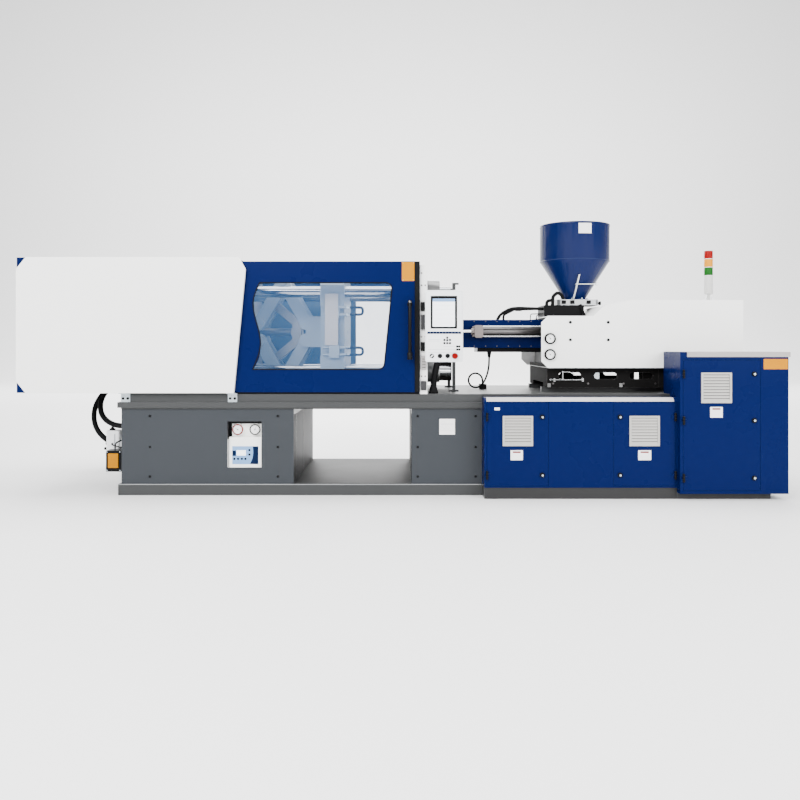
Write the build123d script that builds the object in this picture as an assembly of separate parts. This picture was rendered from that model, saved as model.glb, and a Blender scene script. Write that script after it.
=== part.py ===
from build123d import *
import os
from math import cos, pi, radians, sin, sqrt

# Horizontal injection moulding machine with a double toggle clamp, in millimetres.
# X runs along the machine from the clamp to the injection unit, Z is up, the operator stands at -Y.
# The origin is on the floor under the middle of the machine.

# Common sizes
SHEET = 3.0
SLIDE_GAP = 0.3
SHAFT_GAP = 0.05
DOOR_GAP = 2.0

# Bed
PLINTH_HEIGHT = 73.0
PLINTH_STEP = 19.0
BED_HEIGHT = 655.0
BED_HALF_WIDTH = 585.0
BED_BEAM_HEIGHT = 97.0
BED_BEAM_WIDTH = 255.0
BED_WALL = 12.0
BED_PANEL_INSET = 10.0
BED_PANEL_THICK = 10.0
LIP_HEIGHT = 36.0
LIP_DROP = 52.0
LIP_OUT = 15.0
CLAMP_BED_LENGTH = 1117.0
DROP_OPENING_LENGTH = 764.0
MIDDLE_BED_LENGTH = 457.0
PUMP_BED_LENGTH = 1218.0
CABINET_PLINTH_LENGTH = 591.0
CABINET_PLINTH_HEIGHT = 42.0
FRONT_PLINTH_OUT = 140.0
TANK_OUT = 195.0
TANK_LENGTH = 1000.0
TANK_HEIGHT = 560.0
RAIL_WIDTH = 50.0
RAIL_HEIGHT = 30.0
RAIL_SPACING = 520.0
RAIL_OVERRUN = 300.0

# Stations of the bed along X
DROP_LEFT = -674.0
BED_LEFT = DROP_LEFT - CLAMP_BED_LENGTH
DROP_RIGHT = DROP_LEFT + DROP_OPENING_LENGTH
PUMP_LEFT = DROP_RIGHT + MIDDLE_BED_LENGTH
PUMP_RIGHT = PUMP_LEFT + PUMP_BED_LENGTH
BED_RIGHT = PUMP_RIGHT + CABINET_PLINTH_LENGTH
BEAM_INNER = BED_HALF_WIDTH - BED_BEAM_WIDTH
BEAM_BOTTOM = BED_HEIGHT - BED_BEAM_HEIGHT
RAIL_TOP = BED_HEIGHT + RAIL_HEIGHT

# Platens and tie bars
AXIS_OVER_BED = 411.0
AXIS_Z = BED_HEIGHT + AXIS_OVER_BED
MOULD_FACE_X = 20.0
DAYLIGHT = 382.0
PLATEN_HALF = 372.0
PLATEN_CORNER = 60.0
FIXED_PLATEN_THICK = 180.0
MOVING_THICK = 160.0
TAIL_THICK = 170.0
PLATEN_FOOT_WIDTH = 40.0
TIE_BAR_R = 38.0
TIE_BAR_SPACING = 540.0
TIE_BAR_END = 76.0
TIE_BAR_TAIL_END = 80.0
NUT_R = 78.0
NUT_LENGTH = 85.0
LOCATING_R = 62.5
LOCATING_DEPTH = 40.0
NOZZLE_CAVITY_R = 110.0
BOLT_R = 7.0
BOLT_DEPTH = 40.0
BOLT_SPACINGS = (210.0, 350.0)
EJECTOR_POCKET_HALF = 80.0
EJECTOR_POCKET_DEPTH = 125.0
EJECTOR_PLATE_HALF = 70.0
EJECTOR_PLATE_THICK = 20.0
EJECTOR_ROD_R = 15.0
EJECTOR_ROD_OFFSET = 45.0

# Toggle, drawn half open
LINK_LENGTH = 340.0
LINK_ANGLE = 60.0
LUG_REACH = 120.0
PIVOT_OFFSET = 60.0
PIN_R = 30.0
HUB_R = 47.0
FRONT_LINK_HALF = 42.0
REAR_ARM_INNER = 70.0
REAR_ARM_OUTER = 110.0
HUB_INNER = 45.0
LAYER_GAP = 1.0
FRONT_LINK_THICK = 30.0
LUG_THICK = 30.0
DRIVE_LUG_DISTANCE = 170.0
DRIVE_LINK_LENGTH = 230.0
DRIVE_LINK_HALF_THICK = 36.0
DRIVE_PIN_R = 20.0
DRIVE_EYE_R = 33.0
CROSSHEAD_PIN_OFFSET = 60.0
CROSSHEAD_HALF = 45.0
CROSSHEAD_EAR = 20.0
CROSSHEAD_WEB_HALF = 24.0
CLAMP_ROD_R = 28.0
CYLINDER_R = 92.0
CYLINDER_BORE_R = 60.0
CYLINDER_LENGTH = 480.0
CYLINDER_FLANGE_R = 125.0
CYLINDER_CAP = 40.0
PISTON_THICK = 50.0

MOVING_FACE_X = MOULD_FACE_X - DAYLIGHT
MOVING_BACK_X = MOVING_FACE_X - MOVING_THICK
STATIONARY_BACK_X = MOULD_FACE_X + FIXED_PLATEN_THICK
FRONT_PIVOT_X = MOVING_BACK_X - LUG_REACH
REAR_PIVOT_X = FRONT_PIVOT_X - 2 * LINK_LENGTH * cos(radians(LINK_ANGLE))
TAIL_FACE_X = REAR_PIVOT_X - LUG_REACH
TAIL_BACK_X = TAIL_FACE_X - TAIL_THICK
KNEE_X = REAR_PIVOT_X + LINK_LENGTH * cos(radians(LINK_ANGLE))
KNEE_RISE = PIVOT_OFFSET + LINK_LENGTH * sin(radians(LINK_ANGLE))
DRIVE_LUG_X = REAR_PIVOT_X + DRIVE_LUG_DISTANCE * cos(radians(LINK_ANGLE))
DRIVE_LUG_RISE = PIVOT_OFFSET + DRIVE_LUG_DISTANCE * sin(radians(LINK_ANGLE))
DRIVE_REACH = sqrt(DRIVE_LINK_LENGTH**2 - (DRIVE_LUG_RISE - CROSSHEAD_PIN_OFFSET) ** 2)
CROSSHEAD_X = DRIVE_LUG_X + DRIVE_REACH
FRONT_LINK_INNER = REAR_ARM_OUTER + LAYER_GAP
FRONT_LINK_OUTER = FRONT_LINK_INNER + FRONT_LINK_THICK

# Clamp covers
COVER_LENGTH = 1476.0
COVER_RIGHT_TOP = -975.0
COVER_RISE = 470.0
COVER_BOTTOM = 664.0
COVER_HALF_WIDTH = 640.0
COVER_DEPTH = 25.0
COVER_SLANT = 75.0
COVER_CHAMFER_X = 62.0
COVER_CHAMFER_Z = 77.0
COVER_EDGE = 6.0
COVER_RIB = 20.0
END_COVER_DEPTH = 150.0
COVER_TOP = AXIS_Z + COVER_RISE
COVER_LEFT = COVER_RIGHT_TOP - COVER_LENGTH
END_COVER_HALF = COVER_HALF_WIDTH - COVER_DEPTH
BRACKET_WIDTH = 60.0
BRACKET_THICK = 4.0
BRACKET_STATIONS = (BED_LEFT + 1.0, COVER_RIGHT_TOP - 123.0)

# Gates
GATE_FRONT = 605.0
GATE_THICK = 28.0
GATE_LENGTH = 1218.0
GATE_RIGHT = 143.0
GATE_BOTTOM = 668.0
GATE_TOP = 1512.0
WINDOW_BOTTOM = 815.0
WINDOW_TOP = 1374.0
WINDOW_LEFT = -935.0
WINDOW_RIGHT = -37.0
WINDOW_WAVE = 50.0
WINDOW_SLANT = 52.0
WINDOW_LAP = 15.0
WINDOW_THICK = 5.0
HANDLE_X = 78.0
HANDLE_BOTTOM = 880.0
HANDLE_TOP = 1257.0
HANDLE_R = 11.0
HANDLE_OUT = 42.0
GUIDE_HEIGHT = 30.0
GUIDE_THICK = 18.0
GUIDE_DROP = 20.0
GUIDE_LEFT = -1780.0
POST_WIDTH = 48.0
POST_DEPTH = 46.0
POST_TOP = 1460.0
GATE_LEFT = GATE_RIGHT - GATE_LENGTH
GATE_BACK = GATE_FRONT - GATE_THICK
GUIDE_BACK = GATE_BACK - SLIDE_GAP - GUIDE_THICK
POST_LEFT = GATE_RIGHT + 1.0

# Pump enclosure and its doors
PUMP_FRONT = 720.0
PUMP_TOP = 638.0
PUMP_TOP_BEVEL = 20.0
DOOR_THICK = 20.0
PUMP_DOOR_WIDTH = 386.0
PUMP_DOOR_BOTTOM = 84.0
PUMP_DOOR_TOP = 610.0
DOOR_SIDE = 16.0
VENT_SIZE = 190.0
VENT_FRAME = 12.0
VENT_THICK = 9.0
VENT_SLATS = 9
VENT_CENTRE_Z = 431.0
PUMP_VENT_FROM_HINGE = 194.0
HINGE_R = 7.0
HINGE_PIN_R = 3.0
HINGE_STANDOFF = 1.0
HINGE_HALF = 26.0
PUMP_HINGES = (153.0, 519.0)
LATCH_R = 13.0
LATCH_OUT = 8.0
LATCH_FROM_EDGE = 38.0

# Electrical cabinet
CABINET_WIDTH = 677.0
CABINET_FRONT = 765.0
CABINET_BACK = 450.0
CABINET_TOP = 897.0
LID_HEIGHT = 32.0
LID_OUT = 9.0
LID_INSET = 42.0
CABINET_DOOR_WIDTH = 480.0
CABINET_DOOR_INSET = 20.0
CABINET_DOOR_BOTTOM = 62.0
CABINET_DOOR_TOP = 878.0
CABINET_HINGES = (142.0, 501.0, 791.0)
CABINET_VENT_FROM_HINGE = 205.0
CABINET_VENT_Z = 705.0
CABINET_LEFT = PUMP_RIGHT
CABINET_RIGHT = CABINET_LEFT + CABINET_WIDTH

# Service recess in the left bed panel
SERVICE_LEFT = -1104.0
SERVICE_WIDTH = 221.0
SERVICE_BOTTOM = 178.0
SERVICE_HEIGHT = 299.0
SERVICE_DEPTH = 60.0
SERVICE_GAUGE_R = 37.0
SERVICE_GAUGE_DROP = 56.0
CONTROLLER_HEIGHT = 195.0
CONTROLLER_DEPTH = 40.0

# Lubrication pump and junction box on the left end of the bed
PUMP_BOX_WIDTH = 90.0
PUMP_BOX_BOTTOM = 236.0
PUMP_BOX_HEIGHT = 151.0
PUMP_BOX_OUT = 113.0
PUMP_BOX_Y = -250.0
JUNCTION_WIDTH = 102.0
JUNCTION_BOTTOM = 126.0
JUNCTION_HEIGHT = 140.0
JUNCTION_OUT = 58.0
JUNCTION_BORDER = 17.0
JUNCTION_LID_RISE = 26.0
JUNCTION_Y = -370.0
HOSE_R = 18.0

# Control panel
PANEL_CENTRE_X = 291.0
PANEL_WIDTH = 236.0
PANEL_BOTTOM = 866.0
PANEL_TOP = 1315.0
PANEL_FRONT = 760.0
PANEL_THICK = 45.0
PANEL_CORNER = 14.0
PANEL_PIVOT_BACK = 40.0
PANEL_PIVOT_R = 16.0
ARM_HEIGHT = 60.0
ARM_Z = 1100.0
ARM_WIDTH = 44.0
ARM_PLATE_THICK = 15.0
ARM_PLATE_WIDTH = 84.0
ESTOP_FROM_CENTRE = 67.0
BUTTON_Z = 904.0
ESTOP_R = 19.0
ESTOP_TRAVEL = 6.0
BUTTON_R = 9.0
BUTTON_OFFSETS = {"start_button": -26.0, "stop_button": 22.0}
BUTTON_OUT = 8.0
PANEL_CABLE_R = 21.0

# Injection unit
CARRIAGE_LEFT = 1008.0
CARRIAGE_LENGTH = 752.0
CARRIAGE_TOP = 844.0
CARRIAGE_HALF_WIDTH = 360.0
CARRIAGE_WALL = 30.0
CARRIAGE_NOSE = 65.0
OVAL_LENGTH = 158.0
OVAL_HEIGHT = 44.0
OVAL_STATIONS = (154.0, 397.0, 636.0)
OVAL_Z = 765.0
COVER2_LEFT = 955.0
COVER2_LENGTH = 1344.0
COVER2_BOTTOM = 820.0
COVER2_LOW_TOP = 1166.0
COVER2_TOP = 1272.0
COVER2_HALF = 440.0
COVER2_CHAMFER = 44.0
COVER2_STEP_X = 1301.0
COVER2_KNEE_X = 1381.0
COVER2_KNEE_Z = 1239.0
COVER2_SLOPE_X = 1561.0
COVER2_BRACKET = 60.0
HOUSING_LEFT = 1030.0
HOUSING_LENGTH = 280.0
HOUSING_HALF = 130.0
HOUSING_TOP = 1254.0
CROSS_PLATE_THICK = 60.0
CROSS_PLATE_HALF = 260.0
CROSS_PLATE_TOP = 1150.0
THROAT_HALF = 30.0
BARREL_R = 52.0
BARREL_LEFT = 330.0
BARREL_BORE_R = 22.5
NOZZLE_R = 22.0
NOZZLE_TIP_X = 64.0
NOZZLE_ORIFICE_R = 3.0
HEAD_R = 62.0
HEAD_LENGTH = 90.0
BAND_R = 61.0
BAND_LENGTH = 90.0
BAND_COUNT = 5
GUARD_LEFT = 430.0
GUARD_HALF = 150.0
GUARD_BOTTOM = 953.0
GUARD_TOP = 1150.0
GUARD_HOLE_R = 80.0
TRAY_HALF = 120.0
TRAY_LEFT = 560.0
TRAY_HEIGHT = 30.0
TRAVERSE_Y = 205.0
TRAVERSE_R = 32.0
TRAVERSE_BORE_R = 25.0
TRAVERSE_HEAD_HALF = 43.0
TRAVERSE_HEAD_LEFT = 530.0
TRAVERSE_HEAD_LENGTH = 58.0
TRAVERSE_ROD_R = 11.0
TRAVERSE_ROD_END = 950.0
HOPPER_X = 1271.0
HOPPER_R = 245.0
HOPPER_TOP = 1826.0
HOPPER_SHOULDER = 1571.0
HOPPER_FOOT_R = 75.0
HOPPER_PLATE_TOP = 1294.0
HOPPER_PLATE_HALF_X = 144.0
HOPPER_PLATE_HALF_Y = 120.0
HOPPER_FLANGE_R = 100.0
HOPPER_FLANGE_THICK = 8.0
HOPPER_KNOB_R = 18.0
HOPPER_KNOB_HEIGHT = 30.0
GAUGE_X = 1011.0
GAUGE_ZS = (909.0, 1015.0)
GAUGE_R = 37.0
GAUGE_DEPTH = 24.0
TOWER_X = 2236.0
TOWER_R = 30.0
TOWER_TOP = 1650.0
TOWER_LENS_BOTTOM = 1470.0
TOWER_BASE_BOTTOM = 1340.0
TOWER_POLE_R = 10.0
THRUST_X = 1500.0
THRUST_THICK = 60.0
THRUST_HALF_WIDTH = 240.0
THRUST_HALF_HEIGHT = 130.0
GUIDE_ROD_Y = 190.0
GUIDE_ROD_R = 25.0
GUIDE_ROD_RIGHT = 1800.0
MOTOR_R = 90.0
MOTOR_LENGTH = 210.0
SCREW_R = 22.4
SCREW_CORE_R = 16.0
SCREW_PITCH = 45.0
SCREW_FLIGHT = 6.0
SCREW_TIP_X = 300.0
GUARD_POST_X = 384.0
GUARD_POST_Y = 275.0
GUARD_POST_WIDTH = 22.0
GUARD_POST_DEPTH = 30.0
GUARD_POST_TOP = 1398.0
GUARD_POST_FOOT = 66.0
WATER_PIPE_R = 8.0
CABLE_R = 7.0
CABLE_BOOT = 35.0
CABLE_BOOT_HALF = 25.0


def block(x0, x1, y0, y1, z0, z1):
    """A box between two corners."""
    centre = ((x0 + x1) / 2, (y0 + y1) / 2, (z0 + z1) / 2)
    return Pos(*centre) * Box(x1 - x0, y1 - y0, z1 - z0)


def rod_x(x0, x1, y, z, r):
    """A cylinder along X."""
    return Pos((x0 + x1) / 2, y, z) * Rot(0, 90, 0) * Cylinder(r, x1 - x0)


def rod_y(x, y0, y1, z, r):
    """A cylinder along Y."""
    return Pos(x, (y0 + y1) / 2, z) * Rot(90, 0, 0) * Cylinder(r, y1 - y0)


def rod_z(x, y, z0, z1, r):
    """A cylinder along Z."""
    return Pos(x, y, (z0 + z1) / 2) * Cylinder(r, z1 - z0)


def slab(face, y0, y1):
    """A face drawn as (x, z), carried along Y from y0 to y1."""
    return extrude(Plane.XZ.offset(-y1) * face, y1 - y0)


def outline(points):
    """A flat face with straight sides through the points."""
    return make_face(Polyline(*points, close=True))


def flip(shape):
    """The mirror image on the other side of the machine's middle plane."""
    return mirror(shape, about=Plane.XZ)


def lower(shape):
    """The mirror image under the clamping axis."""
    return mirror(shape, about=Plane.XY.offset(AXIS_Z))


def both_sides(shape):
    """The shape and its mirror image across the machine."""
    return shape + flip(shape)


def four_corners(spacing):
    """The four (y, z) places of a square pattern round the clamping axis."""
    half = spacing / 2
    return [(sy * half, AXIS_Z + sz * half) for sy in (-1, 1) for sz in (-1, 1)]


def welded(*members):
    """One welded piece whose members stay separate solids that touch."""
    return Compound([solid for member in members for solid in member.solids()])


def link_plate(x0, z0, x1, z1, half, y0, y1):
    """A flat link with a round eye at each end."""
    length = sqrt((x1 - x0) ** 2 + (z1 - z0) ** 2)
    side = Vector(-(z1 - z0), x1 - x0) * (half / length)
    start, end = Vector(x0, z0), Vector(x1, z1)
    corners = [start + side, end + side, end - side, start - side]
    body = slab(outline([(c.X, c.Y) for c in corners]), y0, y1)
    return body + rod_y(x0, y0, y1, z0, half) + rod_y(x1, y0, y1, z1, half)


# Bed

def bed_side_body(x0, x1):
    """One closed box of the bed between the plinth and the beams, open where a front panel covers it."""
    back = BED_HALF_WIDTH - BED_PANEL_INSET - BED_PANEL_THICK
    shell = block(x0, x1, -back, back, PLINTH_HEIGHT, BEAM_BOTTOM)
    shell -= block(x0 + BED_WALL, x1 - BED_WALL, -back + BED_WALL, back - BED_WALL, PLINTH_HEIGHT, BEAM_BOTTOM)
    post = 6 * BED_WALL
    front = (-back, -back + BED_WALL)
    return shell - block(x0 + post, x1 - post, *front, PLINTH_HEIGHT + post / 2, BEAM_BOTTOM - post / 2)


def clamp_plinth():
    """The floor frame under the clamp, closed on top as a pan across the drop opening."""
    half, inset = BED_HALF_WIDTH, 8 * BED_WALL
    ring = block(BED_LEFT - PLINTH_STEP, PUMP_LEFT, -half, half, 0, PLINTH_HEIGHT)
    return ring - block(BED_LEFT + inset, PUMP_LEFT - BED_WALL, -half + inset, half - inset, 0,
                        PLINTH_HEIGHT - BED_WALL)


def injection_plinth():
    """The floor frame under the injection half and the cabinet."""
    half, inset = BED_HALF_WIDTH, 8 * BED_WALL
    front = -half - FRONT_PLINTH_OUT + LIP_OUT
    ring = block(PUMP_LEFT, PUMP_RIGHT, front, half, 0, PLINTH_HEIGHT)
    ring += block(PUMP_RIGHT, BED_RIGHT, front, half, 0, CABINET_PLINTH_HEIGHT)
    return ring - block(PUMP_LEFT + BED_WALL, BED_RIGHT - inset, -half + inset, half - inset, 0,
                        CABINET_PLINTH_HEIGHT - BED_WALL)


def bed_beam():
    """The rear top beam with its lip."""
    half = BED_HALF_WIDTH
    beam = block(BED_LEFT, PUMP_LEFT, BEAM_INNER, half, BEAM_BOTTOM, BED_HEIGHT)
    lip_top = BED_HEIGHT - LIP_DROP
    beam += block(BED_LEFT - PLINTH_STEP, PUMP_LEFT, half, half + LIP_OUT, lip_top - LIP_HEIGHT, lip_top)
    return beam + block(BED_LEFT - PLINTH_STEP, BED_LEFT, BEAM_INNER, half, lip_top - LIP_HEIGHT, lip_top)


def cross_beam(x0, x1, low):
    """A member between the two top beams."""
    return block(x0, x1, -BEAM_INNER, BEAM_INNER, low, BED_HEIGHT)


def oil_tank():
    """The oil tank on the bed's back, with its filler cap."""
    back, wall = BED_HALF_WIDTH, 2 * BED_WALL
    left = PUMP_LEFT + wall
    tank = block(left, left + TANK_LENGTH, back, back + TANK_OUT, PLINTH_HEIGHT, TANK_HEIGHT)
    tank = chamfer(tank.edges().group_by(Axis.Z)[-1].sort_by(Axis.Y)[-1], wall)
    return tank + rod_z(left + TANK_LENGTH / 4, back + TANK_OUT / 2, TANK_HEIGHT, TANK_HEIGHT + wall, wall)


def injection_bed():
    """The hydraulic half of the bed: a closed body, lower in front of the cabinet's back."""
    back, wall = BED_HALF_WIDTH, 2 * BED_WALL
    body = block(PUMP_LEFT, PUMP_RIGHT, -back + BED_PANEL_INSET, back, PLINTH_HEIGHT, BED_HEIGHT)
    body += block(PUMP_RIGHT, BED_RIGHT, -CABINET_BACK + BED_WALL, back, CABINET_PLINTH_HEIGHT, BED_HEIGHT)
    return body - block(PUMP_LEFT + wall, BED_RIGHT - wall, -CABINET_BACK + 2 * wall, back - wall,
                        PLINTH_HEIGHT + wall, BED_HEIGHT - wall)


def carriage_rail(side):
    """One of the two rails that the carriage slides on."""
    middle = side * RAIL_SPACING / 2
    right = CARRIAGE_LEFT + CARRIAGE_LENGTH + RAIL_OVERRUN
    return block(CARRIAGE_LEFT - 2 * BED_WALL, right, middle - RAIL_WIDTH / 2, middle + RAIL_WIDTH / 2,
                 BED_HEIGHT, RAIL_TOP)


def cable_boot():
    """The tapered boot where the barrel's cable enters the bed."""
    x, y, _ = BARREL_CABLE_ROUTE[-1]
    half = CABLE_BOOT_HALF
    boot = block(x - half, x + half, y - half, y + half, BED_HEIGHT, BED_HEIGHT + CABLE_BOOT)
    return chamfer(boot.edges().group_by(Axis.Z)[-1], half / 2)


def nozzle_guard_post():
    """A flat post behind the stationary platen for the nozzle guard, with its foot and top catch."""
    half_foot, half = GUARD_POST_FOOT / 2, GUARD_POST_WIDTH / 2
    y0, y1 = -GUARD_POST_Y - GUARD_POST_DEPTH / 2, -GUARD_POST_Y + GUARD_POST_DEPTH / 2
    post = block(GUARD_POST_X - half, GUARD_POST_X + half, y0, y1, BED_HEIGHT, GUARD_POST_TOP)
    post += block(GUARD_POST_X - half_foot, GUARD_POST_X + half_foot, y0, y1, BED_HEIGHT, BED_HEIGHT + BED_WALL)
    catch = GUARD_POST_X + half + GUARD_POST_WIDTH
    return post + block(GUARD_POST_X, catch, y0, y1, GUARD_POST_TOP - BED_WALL, GUARD_POST_TOP)


def bed_frame():
    """The welded bed that carries everything."""
    return welded(
        clamp_plinth(), injection_plinth(), bed_side_body(BED_LEFT, DROP_LEFT), bed_side_body(DROP_RIGHT, PUMP_LEFT),
        bed_beam(), flip(bed_beam()), cross_beam(BED_LEFT, BED_LEFT + 100, BEAM_BOTTOM),
        cross_beam(MOULD_FACE_X, STATIONARY_BACK_X, BEAM_BOTTOM),
        cross_beam(STATIONARY_BACK_X, PUMP_LEFT, BED_HEIGHT - BED_WALL), injection_bed(), oil_tank(),
        carriage_rail(-1), carriage_rail(1), cable_boot(), nozzle_guard_post(), flip(nozzle_guard_post()))


def bed_panel(x0, x1):
    """A flat cover sheet on the front of the bed."""
    front = BED_HALF_WIDTH - BED_PANEL_INSET
    return block(x0, x1, -front, -front + BED_PANEL_THICK, PLINTH_HEIGHT, BEAM_BOTTOM)


def bed_panels():
    """The two cover sheets, the left one with the window for the service recess."""
    front = BED_HALF_WIDTH - BED_PANEL_INSET
    right, top = SERVICE_LEFT + SERVICE_WIDTH, SERVICE_BOTTOM + SERVICE_HEIGHT
    hole = block(SERVICE_LEFT, right, -front, -front + BED_PANEL_THICK, SERVICE_BOTTOM, top)
    return bed_panel(BED_LEFT, DROP_LEFT) - hole + bed_panel(DROP_RIGHT, PUMP_LEFT)


def service_panel():
    """The tray behind the window, with two gauges over a boxed controller."""
    front = -BED_HALF_WIDTH + BED_PANEL_INSET + BED_PANEL_THICK
    left, right = SERVICE_LEFT - SHEET, SERVICE_LEFT + SERVICE_WIDTH + SHEET
    low, high = SERVICE_BOTTOM - SHEET, SERVICE_BOTTOM + SERVICE_HEIGHT + SHEET
    back = front + SERVICE_DEPTH
    tray = block(left, right, front, back, low, high)
    tray -= block(SERVICE_LEFT, right - SHEET, front, back - SHEET, SERVICE_BOTTOM, high - SHEET)
    face = back - SHEET
    for share in (0.27, 0.78):
        gauge_x = SERVICE_LEFT + share * SERVICE_WIDTH
        tray += rod_y(gauge_x, face - 30, face, SERVICE_BOTTOM + SERVICE_HEIGHT - SERVICE_GAUGE_DROP,
                      SERVICE_GAUGE_R)
    box_left, box_right = SERVICE_LEFT + 2 * SHEET, right - 3 * SHEET
    box_top = SERVICE_BOTTOM + CONTROLLER_HEIGHT
    return tray + block(box_left, box_right, face - CONTROLLER_DEPTH, face, SERVICE_BOTTOM, box_top)


def lubrication_pump():
    """A tank with a capped neck on a bracket."""
    right = BED_LEFT - PUMP_BOX_OUT
    half = PUMP_BOX_WIDTH / 2
    top = PUMP_BOX_BOTTOM + PUMP_BOX_HEIGHT
    tank = block(right - PUMP_BOX_WIDTH, right, PUMP_BOX_Y - half, PUMP_BOX_Y + half, PUMP_BOX_BOTTOM, top)
    tank = fillet(tank.edges().filter_by(Axis.Z), 12)
    bracket = block(right, BED_LEFT, PUMP_BOX_Y - half / 2, PUMP_BOX_Y + half / 2,
                    PUMP_BOX_BOTTOM + 40, PUMP_BOX_BOTTOM + 90)
    return tank + bracket


def junction_box():
    """A box with a raised lid on a bracket."""
    right = BED_LEFT - JUNCTION_OUT
    left = right - JUNCTION_WIDTH
    front, back = JUNCTION_Y - 45, JUNCTION_Y + 45
    top = JUNCTION_BOTTOM + JUNCTION_HEIGHT
    box = block(left, right, front, back, JUNCTION_BOTTOM, top)
    box += block(left + JUNCTION_BORDER, right - JUNCTION_BORDER, front - 6, front,
                 JUNCTION_BOTTOM + JUNCTION_LID_RISE, top - JUNCTION_BORDER)
    return box + block(right, BED_LEFT, JUNCTION_Y - 20, JUNCTION_Y + 20, JUNCTION_BOTTOM + 30, top - 30)


# Platens, tie bars and toggle

def platen(x0, x1):
    """A platen block with cut corners, four tie bar bores and a foot on each beam."""
    height = 2 * PLATEN_HALF
    body = Pos((x0 + x1) / 2, 0, AXIS_Z) * Box(x1 - x0, height, height)
    body = chamfer(body.edges().filter_by(Axis.X), PLATEN_CORNER)
    waist = PLATEN_HALF - TIE_BAR_SPACING / 2
    cut = TIE_BAR_SPACING / 2 - 2 * TIE_BAR_R - 2 * BED_WALL
    side = block(x0, x1, PLATEN_HALF - waist / 3, PLATEN_HALF, AXIS_Z - cut, AXIS_Z + cut)
    body -= both_sides(side)
    foot = block(x0, x1, BEAM_INNER + 1, BEAM_INNER + 1 + PLATEN_FOOT_WIDTH, BED_HEIGHT, AXIS_Z - TIE_BAR_SPACING / 2)
    body += both_sides(foot)
    for y, z in four_corners(TIE_BAR_SPACING):
        body -= rod_x(x0, x1, y, z, TIE_BAR_R + SHAFT_GAP)
    return body


def mould_bolts(face_x, direction):
    """The tapped holes that take the mould clamps."""
    ends = sorted((face_x, face_x + direction * BOLT_DEPTH))
    holes = Part()
    for spacing in BOLT_SPACINGS:
        for y, z in four_corners(spacing):
            holes += rod_x(ends[0], ends[1], y, z, BOLT_R)
    return holes


def stationary_platen():
    """The fixed platen, with the locating bore in front and the nozzle cavity behind."""
    body = platen(MOULD_FACE_X, STATIONARY_BACK_X) - mould_bolts(MOULD_FACE_X, 1)
    body -= rod_x(MOULD_FACE_X, STATIONARY_BACK_X, 0, AXIS_Z, LOCATING_R)
    cavity_left = MOULD_FACE_X + LOCATING_DEPTH
    body -= rod_x(cavity_left, STATIONARY_BACK_X, 0, AXIS_Z, NOZZLE_CAVITY_R)
    for side in (-1, 1):
        body -= rod_x(STATIONARY_BACK_X - 30, STATIONARY_BACK_X, side * TRAVERSE_Y, AXIS_Z, TRAVERSE_ROD_R)
    return body


def pivot_lugs(face_x, pivot_x, y0, y1):
    """A pair of lugs that reach from a platen to its two toggle pivots."""
    reach = PIVOT_OFFSET + HUB_R
    plate = block(min(face_x, pivot_x), max(face_x, pivot_x), y0, y1, AXIS_Z - reach, AXIS_Z + reach)
    for side in (-1, 1):
        plate += rod_y(pivot_x, y0, y1, AXIS_Z + side * PIVOT_OFFSET, HUB_R)
    return both_sides(plate)


def moving_platen():
    """The moving platen: lugs behind, ejector pocket inside, sliding feet under it."""
    body = platen(MOVING_BACK_X, MOVING_FACE_X) - mould_bolts(MOVING_FACE_X, -1)
    pocket = EJECTOR_POCKET_HALF
    body -= block(MOVING_BACK_X, MOVING_BACK_X + EJECTOR_POCKET_DEPTH, -pocket, pocket,
                  AXIS_Z - pocket, AXIS_Z + pocket)
    for side in (-1, 1):
        body -= rod_x(MOVING_BACK_X, MOVING_FACE_X, side * EJECTOR_ROD_OFFSET, AXIS_Z, EJECTOR_ROD_R + SHAFT_GAP)
    body += pivot_lugs(MOVING_BACK_X, FRONT_PIVOT_X, REAR_ARM_OUTER - LUG_THICK, REAR_ARM_OUTER)
    outer = FRONT_LINK_OUTER + LAYER_GAP
    body += pivot_lugs(MOVING_BACK_X, FRONT_PIVOT_X, outer, outer + LUG_THICK)
    for side in (-1, 1):
        pin = rod_y(FRONT_PIVOT_X, REAR_ARM_OUTER - LUG_THICK, outer + LUG_THICK, AXIS_Z + side * PIVOT_OFFSET, PIN_R)
        body += both_sides(pin)
    feet = block(MOVING_BACK_X, MOVING_FACE_X, -PLATEN_HALF, PLATEN_HALF, BED_HEIGHT, BED_HEIGHT + SLIDE_GAP)
    for side in (-1, 1):
        body += manifold(side)
    return body - feet


def manifold(side):
    """A cooling water block on the operator's side of the moving platen, with two hose barbs."""
    z = AXIS_Z + side * TIE_BAR_SPACING / 4
    left, right = MOVING_FACE_X - 100, MOVING_FACE_X - 30
    front = -PLATEN_HALF - 30
    body = block(left, right, front, -PLATEN_HALF + 34, z - 45, z + 45)
    for step in (-24, 24):
        body += rod_x(right, right + 70, front + 15, z + step, 9)
        body += rod_x(left - 40, left, front + 15, z + step, 7)
    return body


def tail_platen():
    """The tail platen, with the toggle lugs in front and the rod's hole through it."""
    body = platen(TAIL_BACK_X, TAIL_FACE_X) - rod_x(TAIL_BACK_X, TAIL_FACE_X, 0, AXIS_Z, CLAMP_ROD_R + SLIDE_GAP)
    outer = FRONT_LINK_INNER + LUG_THICK
    body += pivot_lugs(TAIL_FACE_X, REAR_PIVOT_X, FRONT_LINK_INNER, outer)
    for side in (-1, 1):
        body += both_sides(rod_y(REAR_PIVOT_X, HUB_INNER, outer, AXIS_Z + side * PIVOT_OFFSET, PIN_R))
    return body


def tie_bars():
    """Four bars that tie the stationary and tail platens."""
    left = TAIL_BACK_X - NUT_LENGTH - TIE_BAR_TAIL_END
    right = STATIONARY_BACK_X + NUT_LENGTH + TIE_BAR_END
    bars = Part()
    for y, z in four_corners(TIE_BAR_SPACING):
        bars += rod_x(left, right, y, z, TIE_BAR_R)
    return bars


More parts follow.
